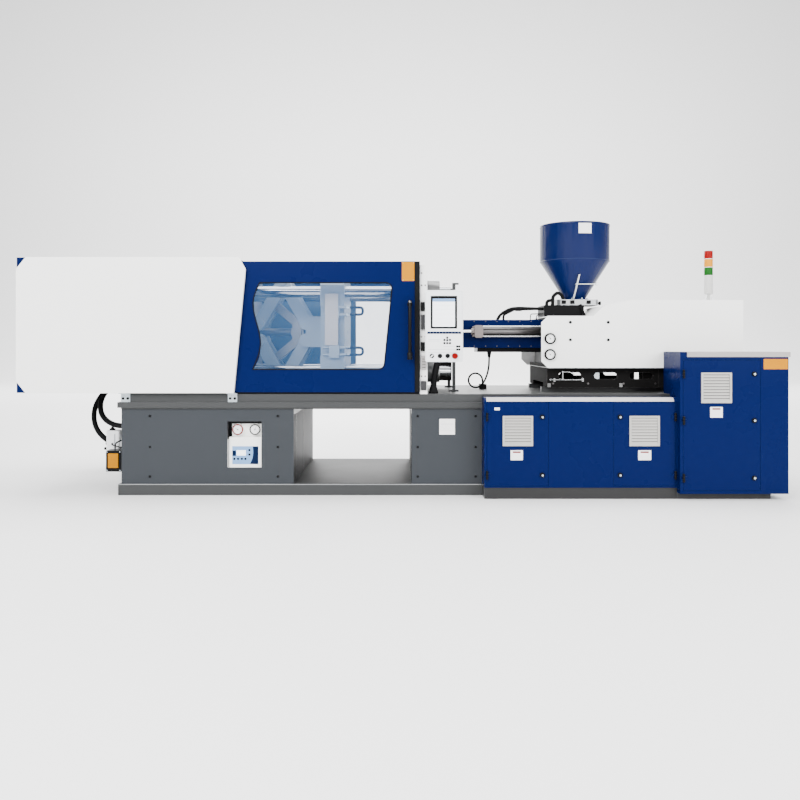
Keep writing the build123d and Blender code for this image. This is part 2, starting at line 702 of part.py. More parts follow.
def tie_bar_nuts():
    """Round nuts at both ends of the tie bars; those on the tail platen are toothed for the mould height drive."""
    nuts = Part()
    for y, z in four_corners(TIE_BAR_SPACING):
        front = rod_x(STATIONARY_BACK_X, STATIONARY_BACK_X + NUT_LENGTH, y, z, NUT_R)
        tail = rod_x(TAIL_BACK_X - NUT_LENGTH, TAIL_BACK_X, y, z, NUT_R - 10)
        teeth = 24
        for index in range(teeth):
            tooth = Pos(TAIL_BACK_X - NUT_LENGTH / 2, y, z) * Rot(index * 360 / teeth, 0, 0)
            tail += tooth * Pos(0, 0, NUT_R - 8) * Box(NUT_LENGTH / 2, 10, 14)
        for ring in (front, tail):
            nuts += ring - rod_x(TAIL_BACK_X - NUT_LENGTH, STATIONARY_BACK_X + NUT_LENGTH, y, z, TIE_BAR_R)
    return nuts


def rear_link():
    """Upper rear link: two arms from the tail pivots to the knee, joined by the knee hub."""
    pivot_z, knee_z = AXIS_Z + PIVOT_OFFSET, AXIS_Z + KNEE_RISE
    arm = link_plate(REAR_PIVOT_X, pivot_z, KNEE_X, knee_z, HUB_R - 4, REAR_ARM_INNER, REAR_ARM_OUTER)
    arm += rod_y(REAR_PIVOT_X, HUB_INNER, REAR_ARM_OUTER, pivot_z, HUB_R)
    arm += rod_y(DRIVE_LUG_X, DRIVE_LINK_HALF_THICK + 4, REAR_ARM_INNER, AXIS_Z + DRIVE_LUG_RISE, DRIVE_PIN_R)
    body = both_sides(arm) + rod_y(KNEE_X, -REAR_ARM_OUTER, REAR_ARM_OUTER, knee_z, HUB_R - 2)
    return body - rod_y(REAR_PIVOT_X, -REAR_ARM_OUTER, REAR_ARM_OUTER, pivot_z, PIN_R + SHAFT_GAP)


def front_links():
    """Upper front links: a pair of bars from the moving platen's pivots to the knee."""
    pivot_z, knee_z = AXIS_Z + PIVOT_OFFSET, AXIS_Z + KNEE_RISE
    bar = link_plate(FRONT_PIVOT_X, pivot_z, KNEE_X, knee_z, FRONT_LINK_HALF, FRONT_LINK_INNER, FRONT_LINK_OUTER)
    bar -= rod_y(FRONT_PIVOT_X, FRONT_LINK_INNER, FRONT_LINK_OUTER, pivot_z, PIN_R + SHAFT_GAP)
    bar += rod_y(KNEE_X, FRONT_LINK_OUTER, FRONT_LINK_OUTER + 12, knee_z, PIN_R)
    return both_sides(bar)


def crosshead():
    """The crosshead on the clamp cylinder's rod, with its piston."""
    eye_x, half = CROSSHEAD_X, CROSSHEAD_HALF
    ear_inner = DRIVE_LINK_HALF_THICK + 4
    body = block(eye_x - half, eye_x + half, -ear_inner, ear_inner,
                 AXIS_Z - CROSSHEAD_WEB_HALF, AXIS_Z + CROSSHEAD_WEB_HALF)
    for side in (-1, 1):
        eye_z = AXIS_Z + side * CROSSHEAD_PIN_OFFSET
        ear = link_plate(eye_x, AXIS_Z, eye_x, eye_z, DRIVE_EYE_R, ear_inner, ear_inner + CROSSHEAD_EAR)
        body += both_sides(ear)
        body += rod_y(eye_x, -ear_inner - CROSSHEAD_EAR, ear_inner + CROSSHEAD_EAR, eye_z, DRIVE_PIN_R)
    piston_x = TAIL_BACK_X - CYLINDER_LENGTH / 2
    body += rod_x(piston_x, eye_x - half, 0, AXIS_Z, CLAMP_ROD_R)
    return body + rod_x(piston_x - PISTON_THICK, piston_x, 0, AXIS_Z, CYLINDER_BORE_R - SHAFT_GAP)


def crosshead_link():
    """Upper crosshead link, from the crosshead's pin to the rear link's lug."""
    eye_z, lug_z = AXIS_Z + CROSSHEAD_PIN_OFFSET, AXIS_Z + DRIVE_LUG_RISE
    half_thick = DRIVE_LINK_HALF_THICK
    body = link_plate(CROSSHEAD_X, eye_z, DRIVE_LUG_X, lug_z, DRIVE_EYE_R - 3, -half_thick, half_thick)
    return body - rod_y(CROSSHEAD_X, -half_thick, half_thick, eye_z, DRIVE_PIN_R + SHAFT_GAP)


def clamp_cylinder():
    """The hydraulic cylinder on the tail platen's back."""
    left = TAIL_BACK_X - CYLINDER_LENGTH
    body = rod_x(left, TAIL_BACK_X, 0, AXIS_Z, CYLINDER_R)
    body += rod_x(TAIL_BACK_X - CYLINDER_CAP, TAIL_BACK_X, 0, AXIS_Z, CYLINDER_FLANGE_R)
    body += block(left, left + 2 * CYLINDER_CAP, -CYLINDER_R, CYLINDER_R, AXIS_Z - CYLINDER_R, AXIS_Z + CYLINDER_R)
    body -= rod_x(left + CYLINDER_CAP, TAIL_BACK_X - CYLINDER_CAP, 0, AXIS_Z, CYLINDER_BORE_R)
    return body - rod_x(left + CYLINDER_CAP, TAIL_BACK_X, 0, AXIS_Z, CLAMP_ROD_R + SLIDE_GAP)


def ejector():
    """The ejector plate in its pocket, with two rods through the platen."""
    half = EJECTOR_PLATE_HALF
    left = MOVING_BACK_X + 2
    body = block(left, left + EJECTOR_PLATE_THICK, -half, half, AXIS_Z - half, AXIS_Z + half)
    for side in (-1, 1):
        body += rod_x(left, MOVING_FACE_X - 2, side * EJECTOR_ROD_OFFSET, AXIS_Z, EJECTOR_ROD_R)
    return body


# Clamp covers

def cover_outline(inset=0.0):
    """The side cover's outline: cut corners and a leaning right edge."""
    left, right = COVER_LEFT + COVER_EDGE + inset, COVER_RIGHT_TOP - inset
    low, high = COVER_BOTTOM + inset, COVER_TOP - inset
    cut_x, cut_z = COVER_CHAMFER_X, COVER_CHAMFER_Z
    return outline([
        (left, low + cut_z), (left + cut_x, low), (right - COVER_SLANT, low),
        (right, high - cut_z), (right - 0.7 * cut_x, high), (left + cut_x, high), (left, high - cut_z)])


def side_covers():
    """The big white side covers: a sheet with folded edges on each side."""
    front, back = -COVER_HALF_WIDTH, -COVER_HALF_WIDTH + COVER_DEPTH
    return both_sides(slab(cover_outline(), front, back) - slab(cover_outline(SHEET), front + SHEET, back))


def cover_hood():
    """The blue hood between them: an end wrapped round the left, and a ribbed top with folded edges."""
    half, inner = END_COVER_HALF, END_COVER_HALF - SHEET
    left, right = COVER_LEFT, COVER_RIGHT_TOP - COVER_CHAMFER_X
    end_right = left + END_COVER_DEPTH
    hood = block(left, end_right, -half, half, COVER_BOTTOM, COVER_TOP)
    hood -= block(left + SHEET, end_right, -inner, inner, COVER_BOTTOM, COVER_TOP - SHEET)
    hood += block(end_right, right, -half, half, COVER_TOP - SHEET, COVER_TOP)
    hood += both_sides(block(end_right, right, inner, half, COVER_TOP - COVER_RIB, COVER_TOP))
    for share in (1 / 3, 2 / 3):
        rib_x = end_right + share * (right - end_right)
        hood += block(rib_x, rib_x + SHEET, -half, half, COVER_TOP - COVER_RIB, COVER_TOP)
    return hood


def cover_brackets():
    """Bent zinc brackets that carry the side covers on the bed's beams."""
    face = BED_HALF_WIDTH
    brackets = Part()
    for left in BRACKET_STATIONS:
        right = left + BRACKET_WIDTH
        leg = block(left, right, -face - BRACKET_THICK, -face, BED_HEIGHT - LIP_DROP, COVER_BOTTOM)
        foot = block(left, right, -COVER_HALF_WIDTH + SHEET, -face, COVER_BOTTOM - BRACKET_THICK, COVER_BOTTOM)
        holes = [rod_y(left + x, -face - 10, -face + 1, BED_HEIGHT - LIP_DROP + 24, 6) for x in (15, 45)]
        brackets += both_sides(leg + foot - holes[0] - holes[1])
    return brackets


# Gates

def window_outline(grow=0.0):
    """The window: a straight top and bottom, a wavy left edge and a leaning right edge with round corners."""
    low, high = WINDOW_BOTTOM - grow, WINDOW_TOP + grow
    left, right = WINDOW_LEFT - grow, WINDOW_RIGHT + grow
    height = high - low
    wave = [
        (left, low), (left + WINDOW_WAVE, low + 0.29 * height),
        (left + 5, low + 0.8 * height), (left + 0.9 * WINDOW_WAVE, high)]
    radius = 0.07 * height
    lean = WINDOW_SLANT * radius / height
    corner = [
        (right - radius, high), (right, high - radius),
        (right - WINDOW_SLANT + lean, low + radius), (right - WINDOW_SLANT - radius, low)]
    edges = Spline(*wave) + Line(wave[-1], corner[0])
    edges += TangentArc(corner[0], corner[1], tangent=(1, 0))
    edges += Line(corner[1], corner[2])
    edges += TangentArc(corner[3], corner[2], tangent=(1, 0))
    return make_face(edges + Line(corner[3], wave[0]))


def front_gate():
    """The blue sliding gate: a folded sheet with the window cut out."""
    front, back = -GATE_FRONT, -GATE_BACK
    tray = block(GATE_LEFT, GATE_RIGHT, front, back, GATE_BOTTOM, GATE_TOP)
    tray -= block(GATE_LEFT + SHEET, GATE_RIGHT - 16, front + SHEET, back, GATE_BOTTOM + SHEET, GATE_TOP - SHEET)
    return tray - slab(window_outline(), front, front + SHEET)


def front_gate_window():
    """The clear pane behind the gate's sheet."""
    face = -GATE_FRONT + SHEET
    return slab(window_outline(WINDOW_LAP), face, face + WINDOW_THICK)


def front_gate_handle():
    """A round pull with two stand-offs."""
    grip_y = -GATE_FRONT - HANDLE_OUT
    grip = rod_z(HANDLE_X, grip_y, HANDLE_BOTTOM, HANDLE_TOP, HANDLE_R)
    for z in (HANDLE_BOTTOM + 2 * HANDLE_R, HANDLE_TOP - 2 * HANDLE_R):
        grip += rod_y(HANDLE_X, grip_y, -GATE_FRONT, z, 0.8 * HANDLE_R)
    return grip


def gate_rails():
    """The gate's lower rail and upper guide on each side, with the guide's left post."""
    rail = block(GUIDE_LEFT, GATE_RIGHT, -BED_HALF_WIDTH, -GATE_BACK, BED_HEIGHT, GATE_BOTTOM - SLIDE_GAP)
    face, back = -GATE_BACK + SLIDE_GAP, -GUIDE_BACK
    guide_top = GATE_TOP - GUIDE_DROP
    guide = block(GUIDE_LEFT, POST_LEFT, face, back, guide_top - GUIDE_HEIGHT, guide_top)
    post = block(GUIDE_LEFT, GUIDE_LEFT + 40, face, back, BED_HEIGHT, guide_top - GUIDE_HEIGHT)
    return welded(rail, flip(rail), guide, flip(guide), post, flip(post))


def gate_posts():
    """The white posts that the gates close against, each with two buffers and a top arm to the guide."""
    front, back = -BED_HALF_WIDTH, -BED_HALF_WIDTH + POST_DEPTH
    right = POST_LEFT + POST_WIDTH
    post = block(POST_LEFT, right, front, back, BED_HEIGHT, POST_TOP)
    post += block(POST_LEFT, right, -GATE_BACK + SLIDE_GAP, back, POST_TOP, GATE_TOP - GUIDE_DROP)
    for z in (868, 1135):
        post += block(POST_LEFT + 8, right - 8, front - 14, front, z - 32, z + 32)
    foot = block(MOULD_FACE_X + 140, right, back, -PLATEN_HALF, AXIS_Z - 30, AXIS_Z + 30)
    return both_sides(post) + both_sides(foot)


# Doors, pump enclosure and cabinet

def hinge_parts(x, y, centres):
    """Door knuckles and frame knuckles, with their pins, on one upright axis."""
    knuckles, frames = Part(), Part()
    for z in centres:
        third = 2 * HINGE_HALF / 3
        knuckles += rod_z(x, y, z - third / 2 + SLIDE_GAP, z + third / 2 - SLIDE_GAP, HINGE_R)
        for side in (-1, 1):
            ends = sorted((z + side * third / 2, z + side * HINGE_HALF))
            frames += rod_z(x, y, ends[0], ends[1], HINGE_R)
        frames += rod_z(x, y, z - HINGE_HALF, z + HINGE_HALF, HINGE_PIN_R)
        knuckles -= rod_z(x, y, z - HINGE_HALF, z + HINGE_HALF, HINGE_PIN_R + SHAFT_GAP)
    return knuckles, frames


def door(hinge_x, direction, width, front, low, high, vent_x, vent_z, hinge_centres):
    """A sheet door with folded edges, a vent hole, latches near its free edge and hinge leaves."""
    x0, x1 = sorted((hinge_x, hinge_x + direction * width))
    tray = block(x0, x1, -front, -front + DOOR_THICK, low, high)
    tray -= block(x0 + SHEET, x1 - SHEET, -front + SHEET, -front + DOOR_THICK, low + SHEET, high - SHEET)
    half = VENT_SIZE / 2 - VENT_FRAME
    tray -= block(vent_x - half, vent_x + half, -front, -front + SHEET, vent_z - half, vent_z + half)
    latch_x = hinge_x + direction * (width - LATCH_FROM_EDGE)
    for z in hinge_centres:
        tray += rod_y(latch_x, -front - LATCH_OUT, -front, z, LATCH_R)
    axis_y = -front - HINGE_R - HINGE_STANDOFF
    knuckles, _ = hinge_parts(hinge_x, axis_y, hinge_centres)
    leaf = Part()
    for z in hinge_centres:
        sides = sorted((hinge_x + direction * (HINGE_PIN_R + 1), hinge_x + direction * 3 * HINGE_R))
        third = 2 * HINGE_HALF / 3
        leaf += block(sides[0], sides[1], axis_y, -front, z - third / 2 + SLIDE_GAP, z + third / 2 - SLIDE_GAP)
    return tray + knuckles + leaf


def frame_hinges(hinge_x, direction, front, centres):
    """The frame's half of the hinges, with leaves that reach back to the frame beside the door."""
    axis_y = -front - HINGE_R - HINGE_STANDOFF
    _, frames = hinge_parts(hinge_x, axis_y, centres)
    third = 2 * HINGE_HALF / 3
    for z in centres:
        for side in (-1, 1):
            ends = sorted((z + side * third / 2, z + side * HINGE_HALF))
            sides = sorted((hinge_x - direction * 2 * HINGE_R, hinge_x - direction * DOOR_GAP))
            frames += block(sides[0], sides[1], axis_y, -front, ends[0], ends[1])
    return frames


def vent(x, z, front):
    """A square filter vent: a frame with slanting slats."""
    half, inner = VENT_SIZE / 2, VENT_SIZE / 2 - VENT_FRAME
    y0, y1 = -front - VENT_THICK, -front
    frame = block(x - half, x + half, y0, y1, z - half, z + half)
    frame -= block(x - inner, x + inner, y0, y1, z - inner, z + inner)
    pitch = 2 * inner / VENT_SLATS
    for index in range(VENT_SLATS):
        slat_z = z - inner + (index + 0.5) * pitch
        slat = [
            (y0 + 1, slat_z - pitch / 2), (y0 + 3, slat_z - pitch / 2),
            (y1, slat_z + 0.3 * pitch), (y1 - 2, slat_z + 0.3 * pitch)]
        face = Plane.YZ.offset(x - inner) * outline(slat)
        frame += extrude(face, 2 * inner)
    return frame


def pump_door_left():
    return door(PUMP_LEFT + DOOR_SIDE, 1, PUMP_DOOR_WIDTH, PUMP_FRONT, PUMP_DOOR_BOTTOM, PUMP_DOOR_TOP,
                PUMP_LEFT + DOOR_SIDE + PUMP_VENT_FROM_HINGE, VENT_CENTRE_Z, PUMP_HINGES)


def pump_door_right():
    return door(PUMP_RIGHT - DOOR_SIDE, -1, PUMP_DOOR_WIDTH, PUMP_FRONT, PUMP_DOOR_BOTTOM, PUMP_DOOR_TOP,
                PUMP_RIGHT - DOOR_SIDE - PUMP_VENT_FROM_HINGE, VENT_CENTRE_Z, PUMP_HINGES)


def cabinet_door():
    hinge_x = CABINET_LEFT + CABINET_DOOR_INSET
    return door(hinge_x, 1, CABINET_DOOR_WIDTH, CABINET_FRONT, CABINET_DOOR_BOTTOM, CABINET_DOOR_TOP,
                hinge_x + CABINET_VENT_FROM_HINGE, CABINET_VENT_Z, CABINET_HINGES)


def pump_enclosure():
    """The blue box on the front of the bed: bevelled top, fixed middle panel and two door openings."""
    back, front = -BED_HALF_WIDTH + BED_PANEL_INSET, -PUMP_FRONT
    bevel = PUMP_TOP_BEVEL
    profile = [
        (back, PLINTH_HEIGHT), (front, PLINTH_HEIGHT), (front, PUMP_TOP - bevel),
        (front + bevel, PUMP_TOP), (back, PUMP_TOP)]
    body = extrude(Plane.YZ.offset(PUMP_LEFT) * outline(profile), PUMP_RIGHT - PUMP_LEFT)
    body -= block(PUMP_LEFT + SHEET, PUMP_RIGHT - SHEET, front + SHEET, back, PLINTH_HEIGHT + SHEET,
                  PUMP_TOP - bevel - SHEET)
    width = PUMP_DOOR_WIDTH + DOOR_GAP
    left = PUMP_LEFT + DOOR_SIDE - DOOR_GAP
    right = PUMP_RIGHT - DOOR_SIDE + DOOR_GAP
    low, high = PUMP_DOOR_BOTTOM - DOOR_GAP, PUMP_DOOR_TOP + DOOR_GAP
    body -= block(left, left + width + DOOR_GAP, front, front + DOOR_THICK + DOOR_GAP, low, high)
    body -= block(right - width - DOOR_GAP, right, front, front + DOOR_THICK + DOOR_GAP, low, high)
    body += frame_hinges(PUMP_LEFT + DOOR_SIDE, 1, PUMP_FRONT, PUMP_HINGES)
    return body + frame_hinges(PUMP_RIGHT - DOOR_SIDE, -1, PUMP_FRONT, PUMP_HINGES)


def electrical_cabinet():
    """The blue cabinet at the right end, with a raised left shoulder and one door opening."""
    front, back = -CABINET_FRONT, -CABINET_BACK
    body = block(CABINET_LEFT, CABINET_RIGHT, front, back, CABINET_PLINTH_HEIGHT, CABINET_TOP)
    body -= block(CABINET_LEFT + SHEET, CABINET_RIGHT - SHEET, front + SHEET, back - SHEET,
                  CABINET_PLINTH_HEIGHT + SHEET, CABINET_TOP - SHEET)
    shoulder_top = CABINET_TOP + LID_HEIGHT
    body += block(CABINET_LEFT, CABINET_LEFT + LID_INSET, front, back, CABINET_TOP, shoulder_top)
    hinge_x = CABINET_LEFT + CABINET_DOOR_INSET
    body -= block(hinge_x - DOOR_GAP, hinge_x + CABINET_DOOR_WIDTH + DOOR_GAP, front, front + DOOR_THICK + DOOR_GAP,
                  CABINET_DOOR_BOTTOM - DOOR_GAP, CABINET_DOOR_TOP + DOOR_GAP)
    return body + frame_hinges(hinge_x, 1, CABINET_FRONT, CABINET_HINGES)


def cabinet_lid():
    """The pale lid, a shallow sheet tray over the cabinet."""
    left, right = CABINET_LEFT + LID_INSET, CABINET_RIGHT + LID_OUT
    front = -CABINET_FRONT - LID_OUT
    return block(left, right, front, -CABINET_BACK, CABINET_TOP, CABINET_TOP + LID_HEIGHT)


# Control panel

def control_panel():
    """The panel housing, with a bezel round its screen, button collars and the pivot boss behind."""
    left, right = PANEL_CENTRE_X - PANEL_WIDTH / 2, PANEL_CENTRE_X + PANEL_WIDTH / 2
    front, back = -PANEL_FRONT, -PANEL_FRONT + PANEL_THICK
    body = block(left, right, front, back, PANEL_BOTTOM, PANEL_TOP)
    body = fillet(body.edges().filter_by(Axis.Y), PANEL_CORNER)
    body = fillet(body.faces().sort_by(Axis.Y)[0].edges(), 5)
    screen = (left + 33, right - 36)
    body -= block(screen[0], screen[1], front, front + 3, PANEL_TOP - 241, PANEL_TOP - 35)
    for x in button_places():
        body -= rod_y(x, front, front + ESTOP_TRAVEL + BUTTON_OUT, BUTTON_Z, BUTTON_R + SLIDE_GAP)
    pivot_y = back + PANEL_PIVOT_BACK
    for side in (-1, 1):
        ends = sorted((ARM_Z + side * (ARM_HEIGHT / 2 + 1), ARM_Z + side * (ARM_HEIGHT / 2 + 30)))
        body += block(PANEL_CENTRE_X - PANEL_PIVOT_R - 8, PANEL_CENTRE_X + PANEL_PIVOT_R + 8, back, pivot_y, *ends)
        body += rod_z(PANEL_CENTRE_X, pivot_y, ends[0], ends[1], PANEL_PIVOT_R + 8)
    return body + rod_z(PANEL_CENTRE_X, pivot_y, ARM_Z - ARM_HEIGHT / 2 - 2, ARM_Z + ARM_HEIGHT / 2 + 2, PANEL_PIVOT_R)


def button_places():
    """The X places of the emergency stop and the two push buttons."""
    return [PANEL_CENTRE_X + ESTOP_FROM_CENTRE] + [PANEL_CENTRE_X + x for x in BUTTON_OFFSETS.values()]


def emergency_stop():
    """A mushroom head on a stem that runs into the panel."""
    x, face = PANEL_CENTRE_X + ESTOP_FROM_CENTRE, -PANEL_FRONT
    stem = rod_y(x, face - ESTOP_TRAVEL - 2, face + BUTTON_OUT, BUTTON_Z, BUTTON_R)
    head = rod_y(x, face - ESTOP_TRAVEL - 18, face - ESTOP_TRAVEL - 1, BUTTON_Z, ESTOP_R)
    head = fillet(head.edges().sort_by(Axis.Y)[0], 5)
    return stem + head


def push_button(offset):
    """A flat push button on a stem that runs into the panel."""
    x, face = PANEL_CENTRE_X + offset, -PANEL_FRONT
    return rod_y(x, face - BUTTON_OUT, face + BUTTON_OUT, BUTTON_Z, BUTTON_R)


def panel_arm():
    """The bent arm from the stationary platen to the panel's pivot."""
    pivot_y = -PANEL_FRONT + PANEL_THICK + PANEL_PIVOT_BACK
    low, high = ARM_Z - ARM_HEIGHT / 2, ARM_Z + ARM_HEIGHT / 2
    root_x = STATIONARY_BACK_X
    eye = rod_z(PANEL_CENTRE_X, pivot_y, low, high, PANEL_PIVOT_R + 12)
    right = PANEL_CENTRE_X + ARM_WIDTH / 2
    inner = -PLATEN_HALF + PLATEN_CORNER
    reach = block(right - ARM_WIDTH, right, pivot_y, inner, low, high)
    back = block(root_x, right, inner - ARM_WIDTH, inner, low, high)
    plate = block(root_x, root_x + ARM_PLATE_THICK, inner - ARM_PLATE_THICK,
                  inner - ARM_PLATE_THICK + ARM_PLATE_WIDTH, low - ARM_WIDTH, high + ARM_WIDTH)
    arm = eye + reach + back + plate
    return arm - rod_z(PANEL_CENTRE_X, pivot_y, low, high, PANEL_PIVOT_R + SHAFT_GAP)


# Injection unit

def carriage():
    """The injection unit's cast carriage: two pierced side walls, a top plate, a nose and shoes on the rails."""
    left, right = CARRIAGE_LEFT, CARRIAGE_LEFT + CARRIAGE_LENGTH
    low = RAIL_TOP + SLIDE_GAP
    half, wall = CARRIAGE_HALF_WIDTH, CARRIAGE_WALL
    side = block(left, right, half - wall, half, low, CARRIAGE_TOP)
    for station in OVAL_STATIONS:
        straight = OVAL_LENGTH - OVAL_HEIGHT
        x0 = left + station - straight / 2
        side -= link_plate(x0, OVAL_Z, x0 + straight, OVAL_Z, OVAL_HEIGHT / 2, half - wall, half)
    body = both_sides(side) + block(left, right, -half, half, CARRIAGE_TOP - wall, CARRIAGE_TOP)
    body += block(left, left + CARRIAGE_NOSE, -half, half, low + wall, CARRIAGE_TOP)
    for x in (left, right - 3 * wall):
        for y in (-RAIL_SPACING / 2, RAIL_SPACING / 2):
            body += block(x, x + 3 * wall, y - RAIL_WIDTH, y + RAIL_WIDTH, low, CARRIAGE_TOP - wall)
    inner = COVER2_HALF - SHEET
    for x in (left + 3 * wall + 60, right - 6 * wall):
        body += both_sides(block(x, x + COVER2_BRACKET, half, inner, CARRIAGE_TOP - wall / 2, CARRIAGE_TOP))
    return body


def injection_cover_outline(inset=0.0):
    """The cover's side outline: cut front corners, a low front and a rise to the high back."""
    left, right = COVER2_LEFT + inset, COVER2_LEFT + COVER2_LENGTH - inset
    low, high, front_top = COVER2_BOTTOM, COVER2_TOP - inset, COVER2_LOW_TOP - inset
    cut = COVER2_CHAMFER
    return outline([
        (left + cut, low), (left, low + cut), (left, front_top - cut), (left + cut, front_top),
        (COVER2_STEP_X, front_top), (COVER2_KNEE_X, COVER2_KNEE_Z - inset), (COVER2_SLOPE_X, high),
        (right, high), (right, low)])


def injection_cover():
    """The white cover: a hood open below and at the front, with a hole in its roof for the feed housing."""
    half = COVER2_HALF
    shell = slab(injection_cover_outline(), -half, half)
    shell -= slab(injection_cover_outline(SHEET), -half + SHEET, half - SHEET)
    shell -= block(COVER2_LEFT - 1, COVER2_LEFT + COVER2_CHAMFER, -half + SHEET, half - SHEET,
                   COVER2_BOTTOM - 1, COVER2_LOW_TOP + 1)
    gap = 2 * SHEET
    shell -= block(HOUSING_LEFT - gap, HOUSING_LEFT + HOUSING_LENGTH + gap, -HOUSING_HALF - gap, HOUSING_HALF + gap,
                   COVER2_LOW_TOP - 2 * SHEET, COVER2_TOP)
    return shell


def feed_throat(low, high):
    """The square well that the granules fall through."""
    return block(HOPPER_X - THROAT_HALF, HOPPER_X + THROAT_HALF, -THROAT_HALF, THROAT_HALF, low, high)


def feed_housing():
    """The cast housing on the carriage: it holds the barrel, the cross plate, the guide rods and the hopper's plate."""
    left, right = HOUSING_LEFT, HOUSING_LEFT + HOUSING_LENGTH
    body = block(left, right, -HOUSING_HALF, HOUSING_HALF, CARRIAGE_TOP, HOUSING_TOP)
    body += block(left, left + CROSS_PLATE_THICK, -CROSS_PLATE_HALF, CROSS_PLATE_HALF, CARRIAGE_TOP, CROSS_PLATE_TOP)
    for side in (-1, 1):
        body += rod_x(left, GUIDE_ROD_RIGHT, side * GUIDE_ROD_Y, AXIS_Z, GUIDE_ROD_R)
    body += water_pipe()
    body -= rod_x(left, right, 0, AXIS_Z, BARREL_R)
    body -= feed_throat(AXIS_Z, HOUSING_TOP)
    return welded(body, hopper_base())


def water_pipe():
    """The black pipe that rises from the barrel guard and runs back into the feed housing."""
    y, top = -GUARD_HALF / 2, HOUSING_TOP - 3 * WATER_PIPE_R
    points = [
        (HOUSING_LEFT - 280, y, GUARD_TOP), (HOUSING_LEFT - 280, y, GUARD_TOP + 36),
        (HOUSING_LEFT - 205, y, top - 6), (HOUSING_LEFT, y, top)]
    path = FilletPolyline(*points, radius=3 * WATER_PIPE_R)
    pipe = sweep(Plane(origin=path @ 0, z_dir=path % 0) * Circle(WATER_PIPE_R), path=path)
    return pipe + rod_x(HOUSING_LEFT - 195, HOUSING_LEFT - 150, y, top - 4, 1.5 * WATER_PIPE_R)


def hopper_base():
    """The pale plate under the hopper, with a shutter knob on its right, bolted to the housing."""
    x0, x1 = HOPPER_X - HOPPER_PLATE_HALF_X, HOPPER_X + HOPPER_PLATE_HALF_X
    half = HOPPER_PLATE_HALF_Y
    plate = block(x0, x1, -half, half, HOUSING_TOP, HOPPER_PLATE_TOP)
    plate = chamfer(plate.edges().filter_by(Axis.Z), 20) - feed_throat(HOUSING_TOP, HOPPER_PLATE_TOP)
    middle = (HOUSING_TOP + HOPPER_PLATE_TOP) / 2
    return plate + rod_x(x1, x1 + 30, 0, middle, 6) + rod_x(x1 + 30, x1 + 45, 0, middle, 14)


def hopper():
    """The sheet hopper: a drum over a cone, with a rolled rim and a foot flange."""
    foot_top = HOPPER_PLATE_TOP + HOPPER_FLANGE_THICK
    wall, r = SHEET, HOPPER_R
    neck = HOPPER_FOOT_R - wall
    profile = [
        (neck, HOPPER_PLATE_TOP), (HOPPER_FLANGE_R, HOPPER_PLATE_TOP), (HOPPER_FLANGE_R, foot_top),
        (HOPPER_FOOT_R, foot_top), (r, HOPPER_SHOULDER), (r, HOPPER_TOP - 3 * wall), (r + wall, HOPPER_TOP - 3 * wall),
        (r + wall, HOPPER_TOP), (r - wall, HOPPER_TOP), (r - wall, HOPPER_SHOULDER + wall),
        (neck, foot_top + wall)]
    return Pos(HOPPER_X, 0, 0) * revolve(Plane.XZ * outline(profile), Axis.Z)


def hopper_lid():
    """The lift-off lid with its knob."""
    edge = HOPPER_R - SHEET
    top = HOPPER_TOP + SHEET
    lid = rod_z(HOPPER_X, 0, HOPPER_TOP, top, HOPPER_R + SHEET)
    lid += rod_z(HOPPER_X, 0, HOPPER_TOP - 10, HOPPER_TOP, edge - 1) - rod_z(
        HOPPER_X, 0, HOPPER_TOP - 10, HOPPER_TOP, edge - 1 - SHEET)
    return lid + rod_z(HOPPER_X, 0, top, top + HOPPER_KNOB_HEIGHT, HOPPER_KNOB_R)


def barrel():
    """The barrel with its heater bands, head and nozzle, bored for the screw."""
    right = HOUSING_LEFT + HOUSING_LENGTH
    body = rod_x(BARREL_LEFT + HEAD_LENGTH, right, 0, AXIS_Z, BARREL_R)
    body += rod_x(BARREL_LEFT, BARREL_LEFT + HEAD_LENGTH, 0, AXIS_Z, HEAD_R)
    cone_left = STATIONARY_BACK_X + 50
    cone = [
        (cone_left, 0), (cone_left, NOZZLE_R), (BARREL_LEFT, HEAD_R - 8), (BARREL_LEFT, 0)]
    body += Pos(0, 0, AXIS_Z) * revolve(Plane.XZ * outline(cone), Axis.X)
    body += rod_x(NOZZLE_TIP_X, cone_left, 0, AXIS_Z, NOZZLE_R)
    first = BARREL_LEFT + HEAD_LENGTH + 20
    pitch = (HOUSING_LEFT - 20 - first) / BAND_COUNT
    for index in range(BAND_COUNT):
        body += rod_x(first + index * pitch, first + index * pitch + BAND_LENGTH, 0, AXIS_Z, BAND_R)
    body -= rod_x(SCREW_TIP_X - 10, right, 0, AXIS_Z, BARREL_BORE_R)
    body -= rod_x(NOZZLE_TIP_X, SCREW_TIP_X, 0, AXIS_Z, NOZZLE_ORIFICE_R)
    return body - rod_z(HOPPER_X, 0, AXIS_Z, AXIS_Z + BARREL_R, BARREL_BORE_R)


def screw():
    """The plasticising screw: a core with a flight, here as rings at the flight's pitch, and a pointed tip."""
    right = THRUST_X
    tip = [(SCREW_TIP_X, 0), (SCREW_TIP_X + 30, SCREW_CORE_R), (SCREW_TIP_X + 30, 0)]
    body = Pos(0, 0, AXIS_Z) * revolve(Plane.XZ * outline(tip), Axis.X)
    body += rod_x(SCREW_TIP_X + 30, right, 0, AXIS_Z, SCREW_CORE_R)
    feed_end = HOUSING_LEFT + HOUSING_LENGTH
    count = int((feed_end - SCREW_TIP_X - 60) / SCREW_PITCH)
    for index in range(count):
        x = SCREW_TIP_X + 40 + index * SCREW_PITCH
        body += rod_x(x, x + SCREW_FLIGHT, 0, AXIS_Z, SCREW_R)
    return body


